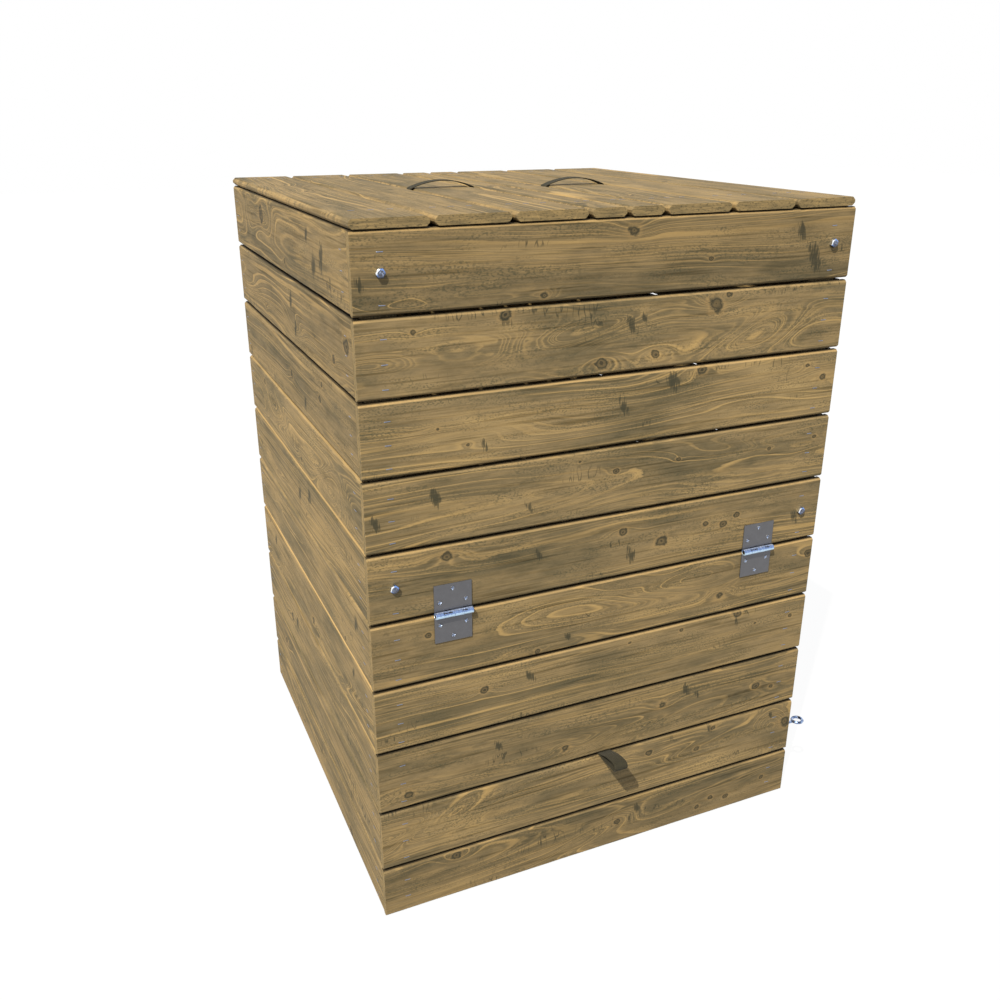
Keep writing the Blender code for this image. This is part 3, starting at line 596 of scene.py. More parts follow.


# What the photograph shows on each board, in metres from the board's middle: knots and burrs as
# along, up and radius; loops as along, up, turn, reach, half width and amount
# The front boards' tones are partly their own and partly a painted pool of light: brighter in the middle
# rows, darker at the top and at the bottom
FRONT_LOOKS = {
    "front_board_1": {
        "knots": ((0.007, 0.033, 0.0062), (0.126, -0.009, 0.0024), (-0.118, -0.04, 0.004)),
        "burrs": ((0.272, 0.02, 0.0075), (0.298, -0.016, 0.014), (-0.352, -0.014, 0.006)),
        "loops": ((-0.3, -0.04, 0.0, 0.05, 0.012, 0.018), (-0.19, -0.04, 0.0, 0.08, 0.008, 0.014)),
        "pith": (-0.078, -0.042, 0.01), "tone": 0.85, "edge": (1.75, 0.85),
    },
    "front_board_2": {
        "knots": (
            (0.141, 0.031, 0.0088), (0.16, 0.042, 0.0045), (-0.033, -0.033, 0.006),
            (0.05, -0.03, 0.0048), (-0.171, 0.041, 0.006), (-0.29, 0.03, 0.003),
        ),
        "burrs": ((0.011, 0.013, 0.0085), (-0.171, 0.037, 0.009), (0.028, 0.022, 0.0055)),
        "loops": (
            (0.212, -0.017, 0.3, 0.058, 0.018, 0.04), (-0.35, -0.006, 0.0, 0.072, 0.013, 0.02),
            (-0.07, 0.008, 3.3, 0.085, 0.018, 0.036),
        ),
        "pith": (-0.016, -0.044, 0.006), "tone": 0.99, "edge": (1.35, 0.85),
    },
    "front_board_3": {
        "knots": (
            (-0.262, 0.007, 0.003), (0.125, 0.042, 0.005), (0.339, 0.01, 0.0045),
            (-0.222, -0.019, 0.0024), (0.309, 0.03, 0.0034),
        ),
        "burrs": ((0.081, 0.03, 0.011), (0.004, 0.005, 0.0085), (-0.2, -0.022, 0.006)),
        "loops": ((-0.2, -0.004, 0.08, 0.11, 0.016, 0.02), (0.2, -0.01, 0.0, 0.09, 0.012, 0.008)),
        "pith": (0.06, -0.045, 0.01), "tone": 1.02, "edge": (1.8, 0.9),
    },
    "front_board_4": {
        "knots": (
            (-0.004, 0.014, 0.0034), (0.098, 0.017, 0.0026), (0.256, 0.01, 0.0026),
            (0.338, 0.019, 0.0032), (-0.06, 0.035, 0.0024),
        ),
        "burrs": ((-0.268, 0.017, 0.009), (-0.348, -0.008, 0.007), (-0.135, -0.02, 0.006)),
        "loops": ((0.17, 0.022, 3.05, 0.075, 0.012, 0.018), (0.32, 0.008, 3.14, 0.055, 0.01, 0.014)),
        "pith": (0.0, -0.04, 0.01), "tone": 0.99, "edge": (1.25, 0.9),
    },
    "front_board_5": {
        "knots": (
            (-0.254, 0.032, 0.0055), (0.012, 0.019, 0.0048), (0.154, 0.009, 0.0036),
            (0.185, 0.001, 0.0046), (0.209, 0.013, 0.0036), (0.079, -0.006, 0.0068),
        ),
        "burrs": ((0.027, -0.018, 0.01), (0.318, -0.008, 0.008), (-0.12, 0.01, 0.006)),
        "loops": ((-0.16, -0.02, 0.1, 0.09, 0.012, 0.008),),
        "pith": (0.065, -0.04, -0.012), "tone": 0.96, "edge": (1.6, 0.9),
    },
    "flap_board_1": {
        "knots": (
            (-0.282, 0.021, 0.0034), (-0.119, -0.042, 0.0032),
            (0.19, -0.017, 0.005), (0.355, 0.023, 0.0056),
        ),
        "burrs": ((-0.07, -0.03, 0.005),),
        "loops": (
            (0.03, 0.036, 3.1, 0.06, 0.01, 0.016), (0.14, 0.022, 0.05, 0.08, 0.018, 0.036),
            (-0.08, -0.034, 0.0, 0.08, 0.01, 0.014),
        ),
        "pith": (0.016, -0.046, 0.006), "tone": 0.93, "edge": (1.7, 0.9),
    },
    "flap_board_2": {
        "knots": (
            (-0.201, 0.015, 0.0046), (0.228, 0.043, 0.006), (0.126, 0.037, 0.0028),
            (0.034, 0.036, 0.0026), (0.265, 0.018, 0.0028), (0.334, 0.017, 0.003),
        ),
        "burrs": ((-0.13, 0.02, 0.007), (0.228, 0.03, 0.006)),
        "loops": ((0.07, 0.033, 0.0, 0.06, 0.008, 0.012),),
        "pith": (0.075, -0.035, 0.008), "tone": 0.98, "edge": (1.65, 0.9),
    },
    "flap_board_3": {
        "knots": (
            (-0.319, -0.028, 0.0058), (-0.07, -0.021, 0.005), (0.1, 0.01, 0.0056),
            (0.281, -0.002, 0.0048), (0.313, -0.011, 0.0036),
        ),
        "burrs": ((0.143, 0.026, 0.0085), (-0.18, 0.015, 0.0065), (0.165, 0.012, 0.005)),
        "loops": ((0.03, -0.028, 3.35, 0.07, 0.014, 0.03), (-0.2, 0.016, 0.0, 0.08, 0.01, 0.01)),
        "pith": (-0.01, -0.04, 0.01), "tone": 0.91, "edge": (0.72, 0.85),
    },
    "flap_board_4": {
        "knots": (
            (0.081, 0.025, 0.0042), (0.174, 0.007, 0.004), (0.352, 0.01, 0.0086), (0.203, 0.038, 0.0034),
        ),
        "burrs": ((0.196, 0.038, 0.006), (0.32, 0.03, 0.006)),
        "loops": (
            (-0.262, 0.012, 0.28, 0.062, 0.019, 0.04), (0.23, 0.01, 0.1, 0.08, 0.016, 0.034),
            (0.322, 0.0, 1.45, 0.036, 0.026, 0.052),
        ),
        "pith": (-0.004, -0.044, 0.004), "tone": 0.94, "edge": (0.92, 0.85),
    },
    "front_sill_board": {
        "knots": (
            (-0.249, 0.033, 0.0056), (0.029, 0.002, 0.0046), (0.315, 0.0, 0.0036),
            (0.21, -0.009, 0.0044), (0.242, -0.017, 0.004), (0.185, -0.021, 0.0034),
        ),
        "burrs": ((0.065, 0.018, 0.007),),
        "loops": ((-0.02, -0.01, 0.25, 0.075, 0.014, 0.026),),
        "pith": (0.02, -0.04, 0.01), "tone": 0.86, "edge": (1.3, 0.85),
    },
}
# The same for the left wall, by courses from the top
LEFT_LOOKS = (
    {
        "knots": ((0.131, 0.022, 0.011), (-0.02, -0.03, 0.003)),
        "burrs": ((-0.167, 0.023, 0.0085), (-0.198, -0.014, 0.014), (-0.238, 0.0, 0.012)),
        "loops": ((0.205, 0.012, 0.0, 0.06, 0.022, 0.036), (0.1, 0.016, 3.14, 0.05, 0.02, 0.02)),
        "pith": (0.01, -0.045, 0.006), "edge": (0.85, 0.85), "tone": 0.87, "habit": (0.6, 0.0, 0.9),
    },
    {
        "knots": ((-0.338, 0.012, 0.0085), (0.154, -0.025, 0.004), (-0.272, -0.018, 0.0042)),
        "burrs": ((-0.04, 0.018, 0.009), (-0.06, -0.02, 0.008)),
        "loops": ((0.31, -0.006, 3.1, 0.11, 0.018, 0.03), (-0.05, -0.016, 0.1, 0.05, 0.016, 0.022)),
        "edge": (0.9, 0.85), "tone": 0.85,
    },
    {"pith": (0.07, -0.04, 0.01), "edge": (1.05, 0.85), "tone": 0.9},
    {
        "knots": ((-0.03, -0.03, 0.0036), (0.23, 0.03, 0.004)),
        "loops": ((0.16, 0.01, 0.1, 0.06, 0.024, 0.044), (-0.205, -0.022, 3.0, 0.065, 0.024, 0.048)),
        "pith": (0.0, -0.048, 0.004), "edge": (1.5, 0.85), "rim": 0.0, "tone": 1.0, "habit": (0.6, 0.0, 0.9),
    },
    {
        "burrs": ((0.004, 0.003, 0.012), (-0.064, 0.02, 0.011)),
        "loops": ((0.257, -0.018, 0.0, 0.11, 0.012, 0.02),),
        "edge": (1.8, 0.85), "rim": 0.0, "narrow": 0.0019, "tone": 0.99,
    },
    {
        "loops": ((0.115, 0.01, 0.0, 0.12, 0.01, 0.018),),
        "burrs": ((-0.3, 0.016, 0.01),),
        "edge": (1.1, 0.9), "rim": 0.0, "tone": 1.02,
    },
    {"edge": (2.0, 0.9), "rim": 0.0, "narrow": 0.0016, "tone": 1.01},
    {"burrs": ((0.12, 0.01, 0.012),), "edge": (1.1, 0.9), "rim": 0.0, "tone": 0.99},
    {"edge": (1.0, 0.9), "rim": 0.0, "tone": 0.94},
    {"edge": (1.0, 0.9), "rim": 0.0, "tone": 0.94},
)
# In all the looks, "edge" paints light on the arrises: a highlight above 1, shade below 1 (on the lid, a
# highlight on the arrises that face left); below "rim" an arris is painted with the shade of the gap between
# boards
WALL_LOOK = {"rim": BOARD_THICKNESS / 2 - 0.0019}
FRONT_LOOK = {**WALL_LOOK, "habit": (1.0, 0.35, 0.9)}
LEFT_LOOK = {**WALL_LOOK, "narrow": 0.0012}
LID_LOOK = {"chamfer": 0.0041, "habit": (0.6, 0.9, 1.0), "edge": (1.1, 1.7), "tone": 0.87}
FRAME_FORM = {"chamfer": 0.0015, "slot": "frame_wood"}
UPRIGHTS = ("corner_post", "upper_front_batten", "flap_batten", "sill_block")


def board_form(node):
    """The way a board's face looks, its form and its grain; nothing for a node of another kind."""
    if node in FRONT_LOOKS:
        return "-y", {**FRONT_LOOK, **FRONT_LOOKS[node]}
    if node.startswith("left_wall_board"):
        return "-x", {**LEFT_LOOK, **LEFT_LOOKS[int(node.split("_")[-1]) - 1]}
    if node.startswith("lid_") and "_board_" in node:
        return "+z", LID_LOOK
    if node.startswith("lid_") and "_batten_" in node:
        return "+z", FRAME_FORM
    if node.startswith(UPRIGHTS):
        return "-y", FRAME_FORM
    return None


def build_boards():
    for node, body in NODE_BODY.items():
        form = board_form(node)
        if form:
            out, look = form
            board(f"{node}_wood", *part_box(node), out, body, node, **look)


def build_panels():
    """The right and back walls as separate boards and posts, where the CAD has them joined."""
    right = []
    back = []
    right_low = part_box("right_wall_panel")[0]
    back_low, back_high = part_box("back_wall_panel")
    for course in COURSES:
        low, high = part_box(f"left_wall_board_{course}")
        start = Vector((WALL_RIGHT - BOARD_THICKNESS, low.y, low.z))
        end = Vector((WALL_RIGHT, high.y, high.z))
        right.append(board(f"right_wall_board_{course}", start, end, "+x", "bin", **WALL_LOOK))
        start = Vector((back_low.x, WALL_REAR - BOARD_THICKNESS, low.z))
        end = Vector((back_high.x, WALL_REAR, high.z))
        back.append(board(f"back_wall_board_{course}", start, end, "+y", "bin", **WALL_LOOK))
    for pieces, post, x, y in (
        (right, "front_right", right_low.x, POST_LOW.y),
        (back, "rear_left", POST_LOW.x, back_low.y),
        (back, "rear_right", right_low.x, back_low.y),
    ):
        start = Vector((x, y, 0.0))
        end = start + (POST_HIGH - POST_LOW)
        pieces.append(board(f"corner_post_{post}", start, end, "-y", "bin", **FRAME_FORM))
    for piece in right:
        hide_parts("right_wall_panel")
    for piece in back:
        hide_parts("back_wall_panel")


# Metal

LEAF_GREY = (0.128, 0.128, 0.138)
BOLT_GREY = (0.14, 0.155, 0.2)
# Where a bolt's turned rim starts: hundredths of a metre from the middle
BOLT_RIM = ((0.37, 0.0), (0.44, 1.0))
# Painted light round the hinge pins: a highlight on the lower half, a blue sky reflection on the upper half
# and a light top edge
BARREL_PAINTED_LIGHT = (
    (0.05, (0.2, 0.28, 0.5)),
    (0.1, (0.66, 0.84, 1.0)),
    (0.55, (0.54, 0.75, 1.0)),
    (0.62, (0.19, 0.3, 0.6)),
    (0.9, (0.17, 0.26, 0.5)),
    (0.97, (0.6, 0.7, 0.95)),
)
LEAF_THICKNESS = 0.0019
LEAF_SLOTS = ((0.2, 0.31), (0.33, 0.44), (0.71, 0.85))
SCREW_PLACES = ((-0.0188, 0.017), (0.0188, 0.017), (0.0, 0.0355))
SCREW_RADIUS = 0.0037
SCREW_ARMS = 40
WELD_DISTANCE = 0.00002

HINGE_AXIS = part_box("hinge_left_pin")
AXIS_Y = (HINGE_AXIS[0].y + HINGE_AXIS[1].y) / 2
AXIS_Z = (HINGE_AXIS[0].z + HINGE_AXIS[1].z) / 2
KNUCKLE = AXIS_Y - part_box("hinge_left_upper_leaf")[0].y


def zinc(name, plain, contrast, pattern=None, gloss=0.2, metallic=1.0):
    """Bright zinc plating: faint spangle, fine brushing, small stains and a piece's own pattern, which on
    the hinge barrels, bolt heads, wire and screw recesses is painted light and shade.
    """
    g = Graph(bpy.data.materials.new(name))
    place = g.value("ShaderNodeTexCoord", output="Object")
    cloud = g.noise(place, 90.0, detail=3.0, roughness=0.6)
    scratch = g.noise(place, (260.0, 2600.0, 2600.0))
    grime = g.noise(place, 420.0, detail=3.0)
    lit = tuple(min(1.0, value * (1 + 0.25 * contrast)) for value in plain)
    dim = tuple(value * (1 - 0.22 * contrast) for value in plain)
    soiled = tuple(value * 0.45 for value in plain)
    colour = g.ramp(cloud, (0.3, dim), (0.52, plain), (0.72, lit))
    colour = g.mix(g.ramp(grime, (0.6, 0.0), (0.74, 0.35 * contrast)), colour, soiled)
    if pattern:
        colour = pattern(g, place, grime, colour)
    roughness = cloud * 0.16 + (scratch * 0.1 + gloss)
    normal = g.bump(scratch + grime * 0.5, 0.1, 0.0001)
    return g.principled(colour, roughness, normal, {"Metallic": metallic})


def barrel_pattern(g, place, grime, colour, slots):
    """Round the pin: a painted highlight on the lower half, a painted blue sky reflection on the upper half
    and painted shade in the slots where the roll closes.
    """
    x, y, z = g.split(place)
    reach = KNUCKLE * 1.06
    dz = z - AXIS_Z
    on_barrel = g.ramp(g.length(y - AXIS_Y, dz) / reach, (0.92, 1.0), (1.0, 0.0))
    rise = (dz / reach * 0.5 + 0.5) + (grime * 0.16 - 0.08)
    tint = g.ramp(rise, *BARREL_PAINTED_LIGHT)
    ticks = g.math("SINE", x * (2 * math.pi / 0.0052)) * rise
    tint = g.mix(g.ramp(ticks, (0.3, 0.0), (0.6, 0.35)), tint, (0.1, 0.12, 0.17))
    height = g.ramp(rise, (0.75, 0.0), (0.79, 1.0), (0.87, 1.0), (0.91, 0.0))
    # Painted shade in the slots
    for low, high in slots:
        away = g.math("ABSOLUTE", x - (low + high) / 2) / (high - low)
        tint = g.mix(g.ramp(away, (0.48, 1.0), (0.56, 0.0)) * height, tint, (0.018, 0.018, 0.022))
    return g.mix(on_barrel, colour, tint)


def crown_pattern(g, place, grime, colour, centre):
    """A bolt's head: a marked face, and a turned rim with a painted blue sky reflection on its upper side,
    painted shade on its lower side and a painted highlight on its upper left.
    """
    x, _, z = g.split(place)
    dx = x - centre.x
    dz = z - centre.z
    ring = g.ramp(g.length(dx, dz) * 100.0, *BOLT_RIM)
    mark = g.noise(place, 520.0, detail=1.0)
    colour = g.mix(g.ramp(mark, (0.54, 0.0), (0.66, 0.8)), colour, (0.4, 0.48, 0.66))
    colour = g.mix(g.ramp(mark, (0.34, 0.8), (0.42, 0.0)), colour, (0.09, 0.08, 0.09))
    # Painted blue sky reflection on the rim's upper side and painted shade on its lower side
    upper = g.ramp((dz - dx * 0.35) * 70.0 + 0.5, (0.25, 0.0), (0.6, 1.0))
    rim = g.mix(upper, (0.07, 0.08, 0.11), (0.22, 0.38, 0.82))
    # Painted highlight on the rim's upper left
    painted_highlight = g.ramp((dz * 0.6 - dx) * 100.0, (0.3, 0.0), (0.48, 1.0))
    return g.mix(ring, colour, g.mix(painted_highlight, rim, (0.92, 0.96, 1.0)))


def wire_pattern(g, place, grime, colour):
    """Bent wire: short stretches of painted shade between painted highlights."""
    stretch = g.noise(place, 170.0, detail=1.0)
    colour = g.mix(g.ramp(stretch, (0.39, 0.9), (0.46, 0.0)), colour, (0.04, 0.036, 0.036))
    return g.mix(g.ramp(stretch, (0.56, 0.0), (0.64, 0.8)), colour, (0.74, 0.84, 1.0))


def recess_pattern(g, place, grime, colour):
    """A screw's recess: a painted blue reflection on its polished flanks and painted shadow on one side of
    each arm.
    """
    depth, flank, _ = g.split(g.attribute("recess"))
    sunk = g.ramp(depth, (0.1, 0.0), (0.3, 1.0))
    colour = g.mix(sunk, colour, (0.42, 0.53, 0.76))
    return g.mix(sunk * g.ramp(flank, (0.74, 0.0), (0.82, 0.9)), colour, (0.05, 0.045, 0.045))


ZINC_SCREW = zinc("zinc_screw", LEAF_GREY, 0.4, recess_pattern, metallic=0.4)
ZINC_WIRE = zinc("zinc_wire", (0.24, 0.34, 0.57), 1.0, wire_pattern, gloss=0.14)
ZINC_PIN = zinc("zinc_pin", (0.045, 0.045, 0.052), 0.8)
STAPLE_STEEL = zinc("staple_steel", (0.26, 0.3, 0.42), 0.8, metallic=0.8)


def finished(node, material):
    """A CAD metal piece as it is, with its vertices welded and a finish."""
    item = frame["nodes"][node]
    weld = item.modifiers.new("weld", "WELD")
    weld.merge_threshold = WELD_DISTANCE
    item.data.materials.clear()
    item.data.materials.append(material)
    return item


def softened(node, material, width, angle=0.6):
    """A finished CAD piece with its edges softened."""
    edge = finished(node, material).modifiers.new("edges", "BEVEL")
    edge.width = width
    edge.segments = 2
    edge.limit_method = "ANGLE"
    edge.angle_limit = angle


def add_screw(shape, marks, centre, out, twist):
    """Countersunk head with a cross recess, flush with the leaf."""
    right = Vector((0, 0, 1)).cross(out).normalized()
    up = out.cross(right)
    rows = []
    for share in (0.0, 0.12, 0.24, 0.36, 0.46, 0.56, 0.66, 0.78, 0.9, 0.97, 1.0):
        row = []
        for index in range(SCREW_ARMS if share else 1):
            angle = 2 * math.pi * index / SCREW_ARMS
            x = share * math.cos(angle)
            y = share * math.sin(angle)
            slot = min(abs(x), abs(y))
            reach = max(abs(x), abs(y))
            inside = max(0.0, 1 - slot / 0.24) if reach < 0.76 else 0.0
            sink = 0.34 * min(1.0, inside * 2.5) * (1 - reach / 0.72) + (0.1 if inside > 0.3 else 0.0)
            rim = -0.1 if share >= 0.97 else 0.0
            turned_x = x * math.cos(twist) - y * math.sin(twist)
            turned_y = x * math.sin(twist) + y * math.cos(twist)
            level = (rim - sink + 0.04) * SCREW_RADIUS
            point = centre + (right * turned_x + up * turned_y) * SCREW_RADIUS + out * level
            row.append(shape.verts.new(point))
            # The second number picks the side of each arm that is painted in shadow
            marks.append((inside, 0.5 + 0.5 * math.sin(3 * angle + 0.6), 0.0))
        rows.append(row)
    edge = rows[-1]
    sunk = out * SCREW_RADIUS * 0.55
    skirt = [shape.verts.new(vert.co - sunk - (vert.co - centre) * 0.35) for vert in edge]
    marks += [(0.0, 0.0, 0.0)] * SCREW_ARMS
    for index in range(SCREW_ARMS):
        follow = (index + 1) % SCREW_ARMS
        shape.faces.new((rows[0][0], rows[1][index], rows[1][follow]))
        for inner, outer in zip(rows[1:], rows[2:]):
            shape.faces.new((inner[index], outer[index], outer[follow], inner[follow]))
    for index in range(SCREW_ARMS):
        follow = (index + 1) % SCREW_ARMS
        shape.faces.new((edge[index], skirt[index], skirt[follow], edge[follow]))


def build_hinges():
    for side in ("left", "right"):
        softened(f"hinge_{side}_pin", ZINC_PIN, 0.0003)
        low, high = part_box(f"hinge_{side}_upper_leaf")
        slots = [[low.x + (high.x - low.x) * share for share in slot] for slot in LEAF_SLOTS]
        leaf = zinc(f"zinc_hinge_{side}", LEAF_GREY, 0.3, partial(barrel_pattern, slots=slots), metallic=0.6)
        for level, body, sign in (("upper", "bin", 1), ("lower", "flap", -1)):
            node = f"hinge_{side}_{level}_leaf"
            softened(node, leaf, 0.00025)
            low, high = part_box(node)
            middle = (low.x + high.x) / 2
            shape = bmesh.new()
            marks = []
            luck = random.Random(node)
            for x, z in SCREW_PLACES:
                centre = Vector((middle + x, WALL_FRONT - LEAF_THICKNESS, AXIS_Z + sign * z))
                add_screw(shape, marks, centre, -AXES["y"], luck.uniform(0, 1.5))
            bmesh.ops.recalc_face_normals(shape, faces=shape.faces)
            screws = smooth_piece(f"screws_{side}_{level}", shape, ZINC_SCREW, body)
            fill_attribute(screws.data, "recess", marks)


def build_bolts():
    for side in ("left", "right"):
        for level in ("upper", "lower"):
            node = f"bolt_{level}_{side}"
            low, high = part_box(node)
            crown = partial(crown_pattern, centre=(low + high) / 2)
            head = zinc(f"zinc_{node}", BOLT_GREY, 0.8, crown)
            softened(node, head, 0.0006, 0.35)


def build_latch():
    for node in ("flap_screw_eye", "hook_screw_eye", "latch_hook"):
        item = finished(node, ZINC_WIRE)
        rounder = item.modifiers.new("rounder", "SUBSURF")
        rounder.levels = 1
        rounder.render_levels = 1
        for polygon in item.data.polygons:
            polygon.use_smooth = True


# Staples: places are distances from the wall's left or front end and from a board's top

STAPLE_HALF = 0.0041
STAPLE_WIRE = 0.00044
STAPLE_BEND = (
    (-1.0, -0.0009), (-1.0, 0.00005), (-0.94, 0.00028), (0.94, 0.00028), (1.0, 0.00005), (1.0, -0.0009),
)
STAPLE_PROFILE = ((-1, -1), (1, -1), (1, 0.4), (0.6, 1), (-0.6, 1), (-1, 0.4))
FRONT_STAPLE_X = (0.0351, 0.69)
FRONT_STAPLE_DROPS = (0.024, 0.0545, 0.0848)
SILL_STAPLE_DROPS = (0.0258, 0.0559)
SIDE_STAPLE_DROPS = (0.0242, 0.0485, 0.073)
SIDE_STAPLE_Y = (0.0395, 0.713)
LID_STAPLE_Y = (0.0885, 0.683)


def add_staple(shape, centre, along, out):
    """The crown of a staple, a flat wire whose ends turn down into the wood."""
    cross = along.cross(out)
    rings = []
    for share, level in STAPLE_BEND:
        point = centre + along * share * STAPLE_HALF + out * level
        ring = []
        for a, b in STAPLE_PROFILE:
            ring.append(shape.verts.new(point + cross * a * STAPLE_WIRE + out * b * STAPLE_WIRE * 0.4))
        rings.append(ring)
    join_rings(shape, rings)


def staple_piece(name, places, body):
    shape = bmesh.new()
    luck = random.Random(name)
    for point, along, out in places:
        lean = Matrix.Rotation(luck.uniform(-0.05, 0.05), 3, out)
        add_staple(shape, point, lean @ along, out)
    bmesh.ops.recalc_face_normals(shape, faces=shape.faces)
    smooth_piece(name, shape, STAPLE_STEEL, body)


def build_front_staples():
    front = {"bin": [], "flap": []}
    for node, body in NODE_BODY.items():
        if node not in FRONT_LOOKS:
            continue
        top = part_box(node)[1].z
        drops = FRONT_STAPLE_DROPS
        if node in ("front_board_1", "front_board_5"):
            drops = (drops[0], drops[2])
        if node == "front_sill_board":
            drops = SILL_STAPLE_DROPS
        for x in FRONT_STAPLE_X:
            for drop in drops:
                point = Vector((WALL_LEFT + x, WALL_FRONT, top - drop))
                front[body].append((point, AXES["x"], -AXES["y"]))
    staple_piece("staples_front", front["bin"], "bin")
    staple_piece("staples_flap", front["flap"], "flap")


def build_staples():
    x_axis, y_axis, z_axis = AXES.values()
    build_front_staples()
    sides = {"left": [], "right": [], "back": []}
    for course in COURSES:
        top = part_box(f"left_wall_board_{course}")[1].z
        for drop in SIDE_STAPLE_DROPS:
            z = top - drop
            for y in SIDE_STAPLE_Y:
                sides["left"].append((Vector((WALL_LEFT, WALL_FRONT + y, z)), y_axis, -x_axis))
                sides["right"].append((Vector((WALL_RIGHT, WALL_FRONT + y, z)), y_axis, x_axis))
            for x in FRONT_STAPLE_X:
                sides["back"].append((Vector((WALL_LEFT + x, WALL_REAR, z)), x_axis, y_axis))
    for side, places in sides.items():
        staple_piece(f"staples_{side}_wall", places, "bin")
    for side in ("left", "right"):
        places = []
        for number in range(1, 5):
            low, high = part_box(f"lid_{side}_board_{number}")
            shares = (0.3, 0.55, 0.8) if number < 4 else (0.5, 0.78)
            for y in LID_STAPLE_Y:
                for share in shares:
                    x = low.x + (high.x - low.x) * share
                    places.append((Vector((x, WALL_FRONT + y, high.z)), x_axis, z_axis))
        staple_piece(f"staples_lid_{side}", places, f"lid_{side}")


# Webbing

WEB_THICKNESS = 0.0013
WARP_PITCH = 0.0016
WEFT_PITCH = 0.0011
WEB_TAIL = 0.022
PATH_STEP = 0.0015
# Half of the strap's section, from its left selvedge to the middle: share of half the width, and
# share of the thickness
WEB_SECTION = ((-0.98, 0.28), (-0.9, 0.5), (-0.78, 0.56), (-0.66, 0.46), (-0.3, 0.44), (0.0, 0.44))
# Height of a lid strap above the lid's top, at shares of its span
LID_STRAP_ARCH = (
    (0.014, 0.0004), (0.04, 0.0014), (0.1, 0.0037), (0.2, 0.0067), (0.3, 0.0089),
    (0.4, 0.0102), (0.49, 0.0107), (0.6, 0.0103), (0.7, 0.009), (0.8, 0.0069),
    (0.9, 0.0038), (0.96, 0.0015), (0.986, 0.0004),
)
# The loop's outline from the board gap outwards and back, as distance out and height
LOOP_OUTLINE = (
    (-0.0135, 0.0235), (-0.0129, 0.008), (-0.0128, 0.0035), (-0.0115, 0.0012), (-0.008, 0.0009),
    (-0.001, 0.001), (0.006, 0.003), (0.014, 0.0062), (0.022, 0.0088), (0.032, 0.0108),
    (0.042, 0.0116), (0.048, 0.011), (0.0518, 0.0082), (0.0524, 0.0045), (0.05, 0.001),
    (0.0455, -0.0005), (0.036, -0.0008), (0.024, -0.0016), (0.013, -0.0018), (0.004, -0.0012),
    (-0.008, -0.0009), (-0.0115, -0.0012), (-0.0128, -0.0035), (-0.0129, -0.008), (-0.0135, -0.0235),
)
LOOP_SHRINK = 0.96


def webbing():
    """Dark woven strap: ribs across it, a fine weave along them and frayed tone."""
    g = Graph(bpy.data.materials.new("strap_webbing"))
    place = g.attribute("strap")
    along, across, _ = g.split(place)
    flip = g.math("SINE", across * (2 * math.pi / WARP_PITCH))
    rib = g.math("SINE", along * (2 * math.pi / WEFT_PITCH) + flip * 1.4)
    cell = rib * flip * 0.25 + 0.5
    fuzz = g.noise(place, 1500.0, detail=3.0)
    cloud = g.noise(place, (60.0, 90.0, 60.0), detail=3.0)
    height = cell + (rib * 0.35 + fuzz * 0.35)
    # Darker where the weave lies low: painted shade in its hollows, over the strap's own dark tone
    colour = g.ramp(height, (0.15, srgb(18, 18, 14)), (0.6, srgb(48, 46, 36)), (1.0, srgb(74, 70, 56)))
    colour = g.mix(g.ramp(cloud, (0.35, 0.0), (0.75, 0.3)), colour, srgb(66, 61, 47))
    more = {"Sheen Weight": 0.05, "Specular IOR Level": 0.1}
    return g.principled(colour, 0.85, g.bump(height, 0.7, 0.0003), more)


WEBBING = webbing()


def smooth_path(points):
    """A smooth curve through the points, cut to even steps."""
    out = []
    padded = [points[0] * 2 - points[1], *points, points[-1] * 2 - points[-2]]
    for a, b, c, d in zip(padded, padded[1:], padded[2:], padded[3:]):
        steps = max(1, math.ceil((c - b).length / PATH_STEP))
        square = 2 * a - 5 * b + 4 * c - d
        cube = 3 * b - a - 3 * c + d
        for index in range(steps):
            t = index / steps
            out.append(0.5 * (2 * b + (c - a) * t + square * t**2 + cube * t**3))
    out.append(points[-1])
    return out


def strap(name, points, across, width, body, node):
    """A strap along a path: rounded selvedges, slightly thicker at its edges."""
    upper = [*WEB_SECTION, *((-share, level) for share, level in reversed(WEB_SECTION[:-1]))]
    lower = [(share, -level) for share, level in reversed(upper)]
    section = [*upper, (1.0, 0.0), *lower, (-1.0, 0.0)]
    half = width / 2
    path = smooth_path(points)
    shape = bmesh.new()
    rings = []
    places = []
    travelled = 0.0
    for index, point in enumerate(path):
        before = path[max(0, index - 1)]
        after = path[min(len(path) - 1, index + 1)]
        normal = across.cross((after - before).normalized()).normalized()
        travelled += (point - before).length
        ring = []
        for share, level in section:
            ring.append(shape.verts.new(point + across * share * half + normal * level * WEB_THICKNESS))
            places.append((travelled, share * half, level * WEB_THICKNESS))
        rings.append(ring)
    join_rings(shape, rings)
    bmesh.ops.recalc_face_normals(shape, faces=shape.faces)
    item = smooth_piece(name, shape, WEBBING, body)
    fill_attribute(item.data, "strap", places)
    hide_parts(node)


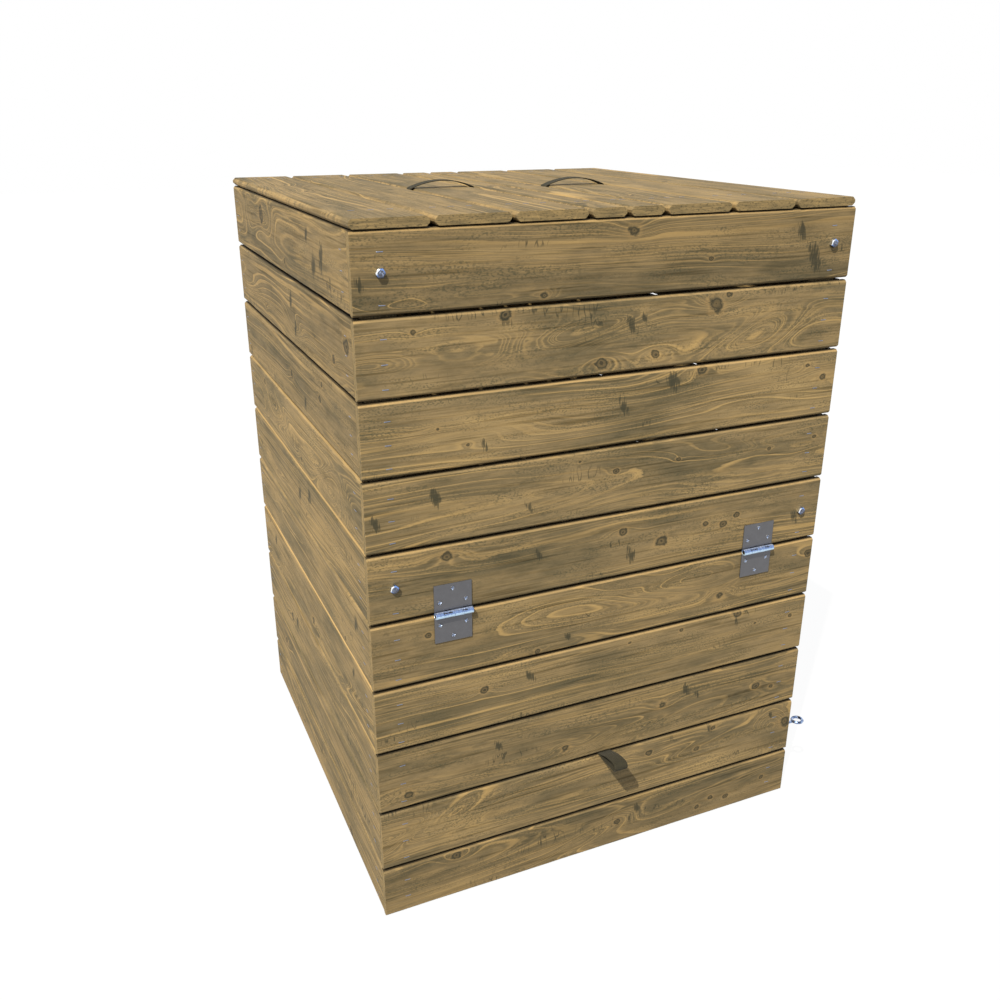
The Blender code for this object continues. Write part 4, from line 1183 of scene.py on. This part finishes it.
def build_straps():
    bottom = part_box("lid_left_board_1")[0].z
    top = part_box("lid_left_board_1")[1].z
    under = bottom - 0.0011
    for side in ("left", "right"):
        node = f"lid_{side}_strap_handle"
        low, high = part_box(node)
        first, last = low.x + WEB_TAIL, high.x - WEB_TAIL
        route = [(low.x + 0.0004, under), (first - 0.0042, under), (first - 0.0012, under + 0.0008)]
        route += [(first, bottom + 0.002), (first, top - 0.002)]
        route += [(first + share * (last - first), top + rise) for share, rise in LID_STRAP_ARCH]
        route += [(last, top - 0.002), (last, bottom + 0.002)]
        route += [(last + 0.0012, under + 0.0008), (last + 0.0042, under), (high.x - 0.0004, under)]
        points = [Vector((x, (low.y + high.y) / 2, z)) for x, z in route]
        strap(f"{node}_webbing", points, AXES["y"], high.y - low.y, f"lid_{side}", node)
    low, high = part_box("flap_strap_loop")
    gap = (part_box("flap_board_4")[1].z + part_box("flap_board_3")[0].z) / 2
    points = []
    for out, rise in LOOP_OUTLINE:
        y = WALL_FRONT - out * (LOOP_SHRINK if out > 0 else 1.0)
        points.append(Vector(((low.x + high.x) / 2, y, gap + rise)))
    strap("flap_pull_webbing", points, AXES["x"], high.x - low.x, "flap", "flap_strap_loop")


# Room, light and camera

WHITE = (1.0, 1.0, 1.0)
FLOOR_HALF = 14.0
FLOOR_DROP = 0.0005
FLOOR_GLOW = 0.95
WORLD_COLOUR = (0.9, 0.98, 1.1)
WORLD_LEVEL = 0.55
SUN_COLOUR = (1.0, 0.93, 0.79)
SUN_LEVEL = 4.5
SUN_TRAVEL = Vector((1.1, 1.0, -1.8))
FILL_COLOUR = (1.0, 0.97, 0.92)
FILL_LEVEL = 10.0
FILL_PLACE = Vector((-3.0, -0.6, 1.2))
FILL_AIM = Vector((0.0, 0.0, 0.5))
# The camera's lens in millimetres, its place from the front left top corner, and its axes
LENS = 35.28
CAMERA_OFFSET = Vector((-0.298, -1.092, 0.129))
CAMERA_RIGHT = Vector((0.9148, -0.4039, 0.0))
CAMERA_UP = Vector((0.1507, 0.3412, 0.9278))


def seen(g):
    """1 where a ray comes from the camera or off a shiny piece, 0 where it only lights others."""
    rays = g.node("ShaderNodeLightPath").outputs
    found = Value(g, rays["Is Camera Ray"])
    for ray in ("Is Glossy Ray", "Is Transmission Ray"):
        found = g.math("MAXIMUM", found, Value(g, rays[ray]))
    return found


def build_floor():
    g = Graph(bpy.data.materials.new("floor"))
    cloud = g.noise(g.value("ShaderNodeTexCoord", output="Object"), 1.5)
    pale = g.ramp(cloud, (0.3, 0.93), (0.7, 0.95))
    dull = g.ramp(cloud, (0.3, 0.28), (0.7, 0.32))
    in_view = seen(g)
    matt = g.value("ShaderNodeBsdfDiffuse", g.mix(in_view, dull, pale))
    glow = g.value("ShaderNodeEmission", WHITE, 1.0)
    g.surface(g.value("ShaderNodeMixShader", in_view * FLOOR_GLOW, matt, glow))
    shape = bmesh.new()
    bmesh.ops.create_grid(shape, x_segments=2, y_segments=2, size=FLOOR_HALF)
    floor = linked("floor", mesh_data("floor", shape, g.owner))
    floor.location = (0.0, 0.0, -FLOOR_DROP)


def build_world():
    world = bpy.data.worlds.new("studio")
    bpy.context.scene.world = world
    g = Graph(world, "ShaderNodeOutputWorld")
    sky = g.value("ShaderNodeBackground", WORLD_COLOUR, WORLD_LEVEL)
    white = g.value("ShaderNodeBackground", WHITE, 1.0)
    g.surface(g.value("ShaderNodeMixShader", seen(g), sky, white))


def add_lamp(name, kind, level, colour, place, travel):
    """A lamp whose light goes along the way of travel."""
    light = bpy.data.lights.new(name, kind)
    light.energy = level
    light.color = colour
    lamp = linked(name, light)
    lamp.location = place
    lamp.rotation_euler = travel.to_track_quat("-Z", "Y").to_euler()
    return light


def build_lights():
    sun = add_lamp("sun", "SUN", SUN_LEVEL, SUN_COLOUR, (0.0, 0.0, 0.0), SUN_TRAVEL)
    sun.angle = math.radians(0.8)
    fill = add_lamp("left_fill", "AREA", FILL_LEVEL, FILL_COLOUR, FILL_PLACE, FILL_AIM - FILL_PLACE)
    fill.size = 2.0


def build_camera():
    data = bpy.data.cameras.new("camera")
    data.sensor_width = 36.0
    data.lens = LENS
    camera = linked("camera", data)
    place = Vector((WALL_LEFT, WALL_FRONT, WALL_TOP)) + CAMERA_OFFSET
    turn = Matrix((CAMERA_RIGHT, CAMERA_UP, CAMERA_RIGHT.cross(CAMERA_UP))).transposed().to_4x4()
    camera.matrix_world = Matrix.Translation(place) @ turn
    bpy.context.scene.camera = camera


bpy.context.scene.view_settings.view_transform = "Standard"
build_boards()
build_panels()
build_hinges()
build_bolts()
build_staples()
build_straps()
build_latch()
build_floor()
build_world()
build_lights()
build_camera()

bpy.context.view_layer.update()
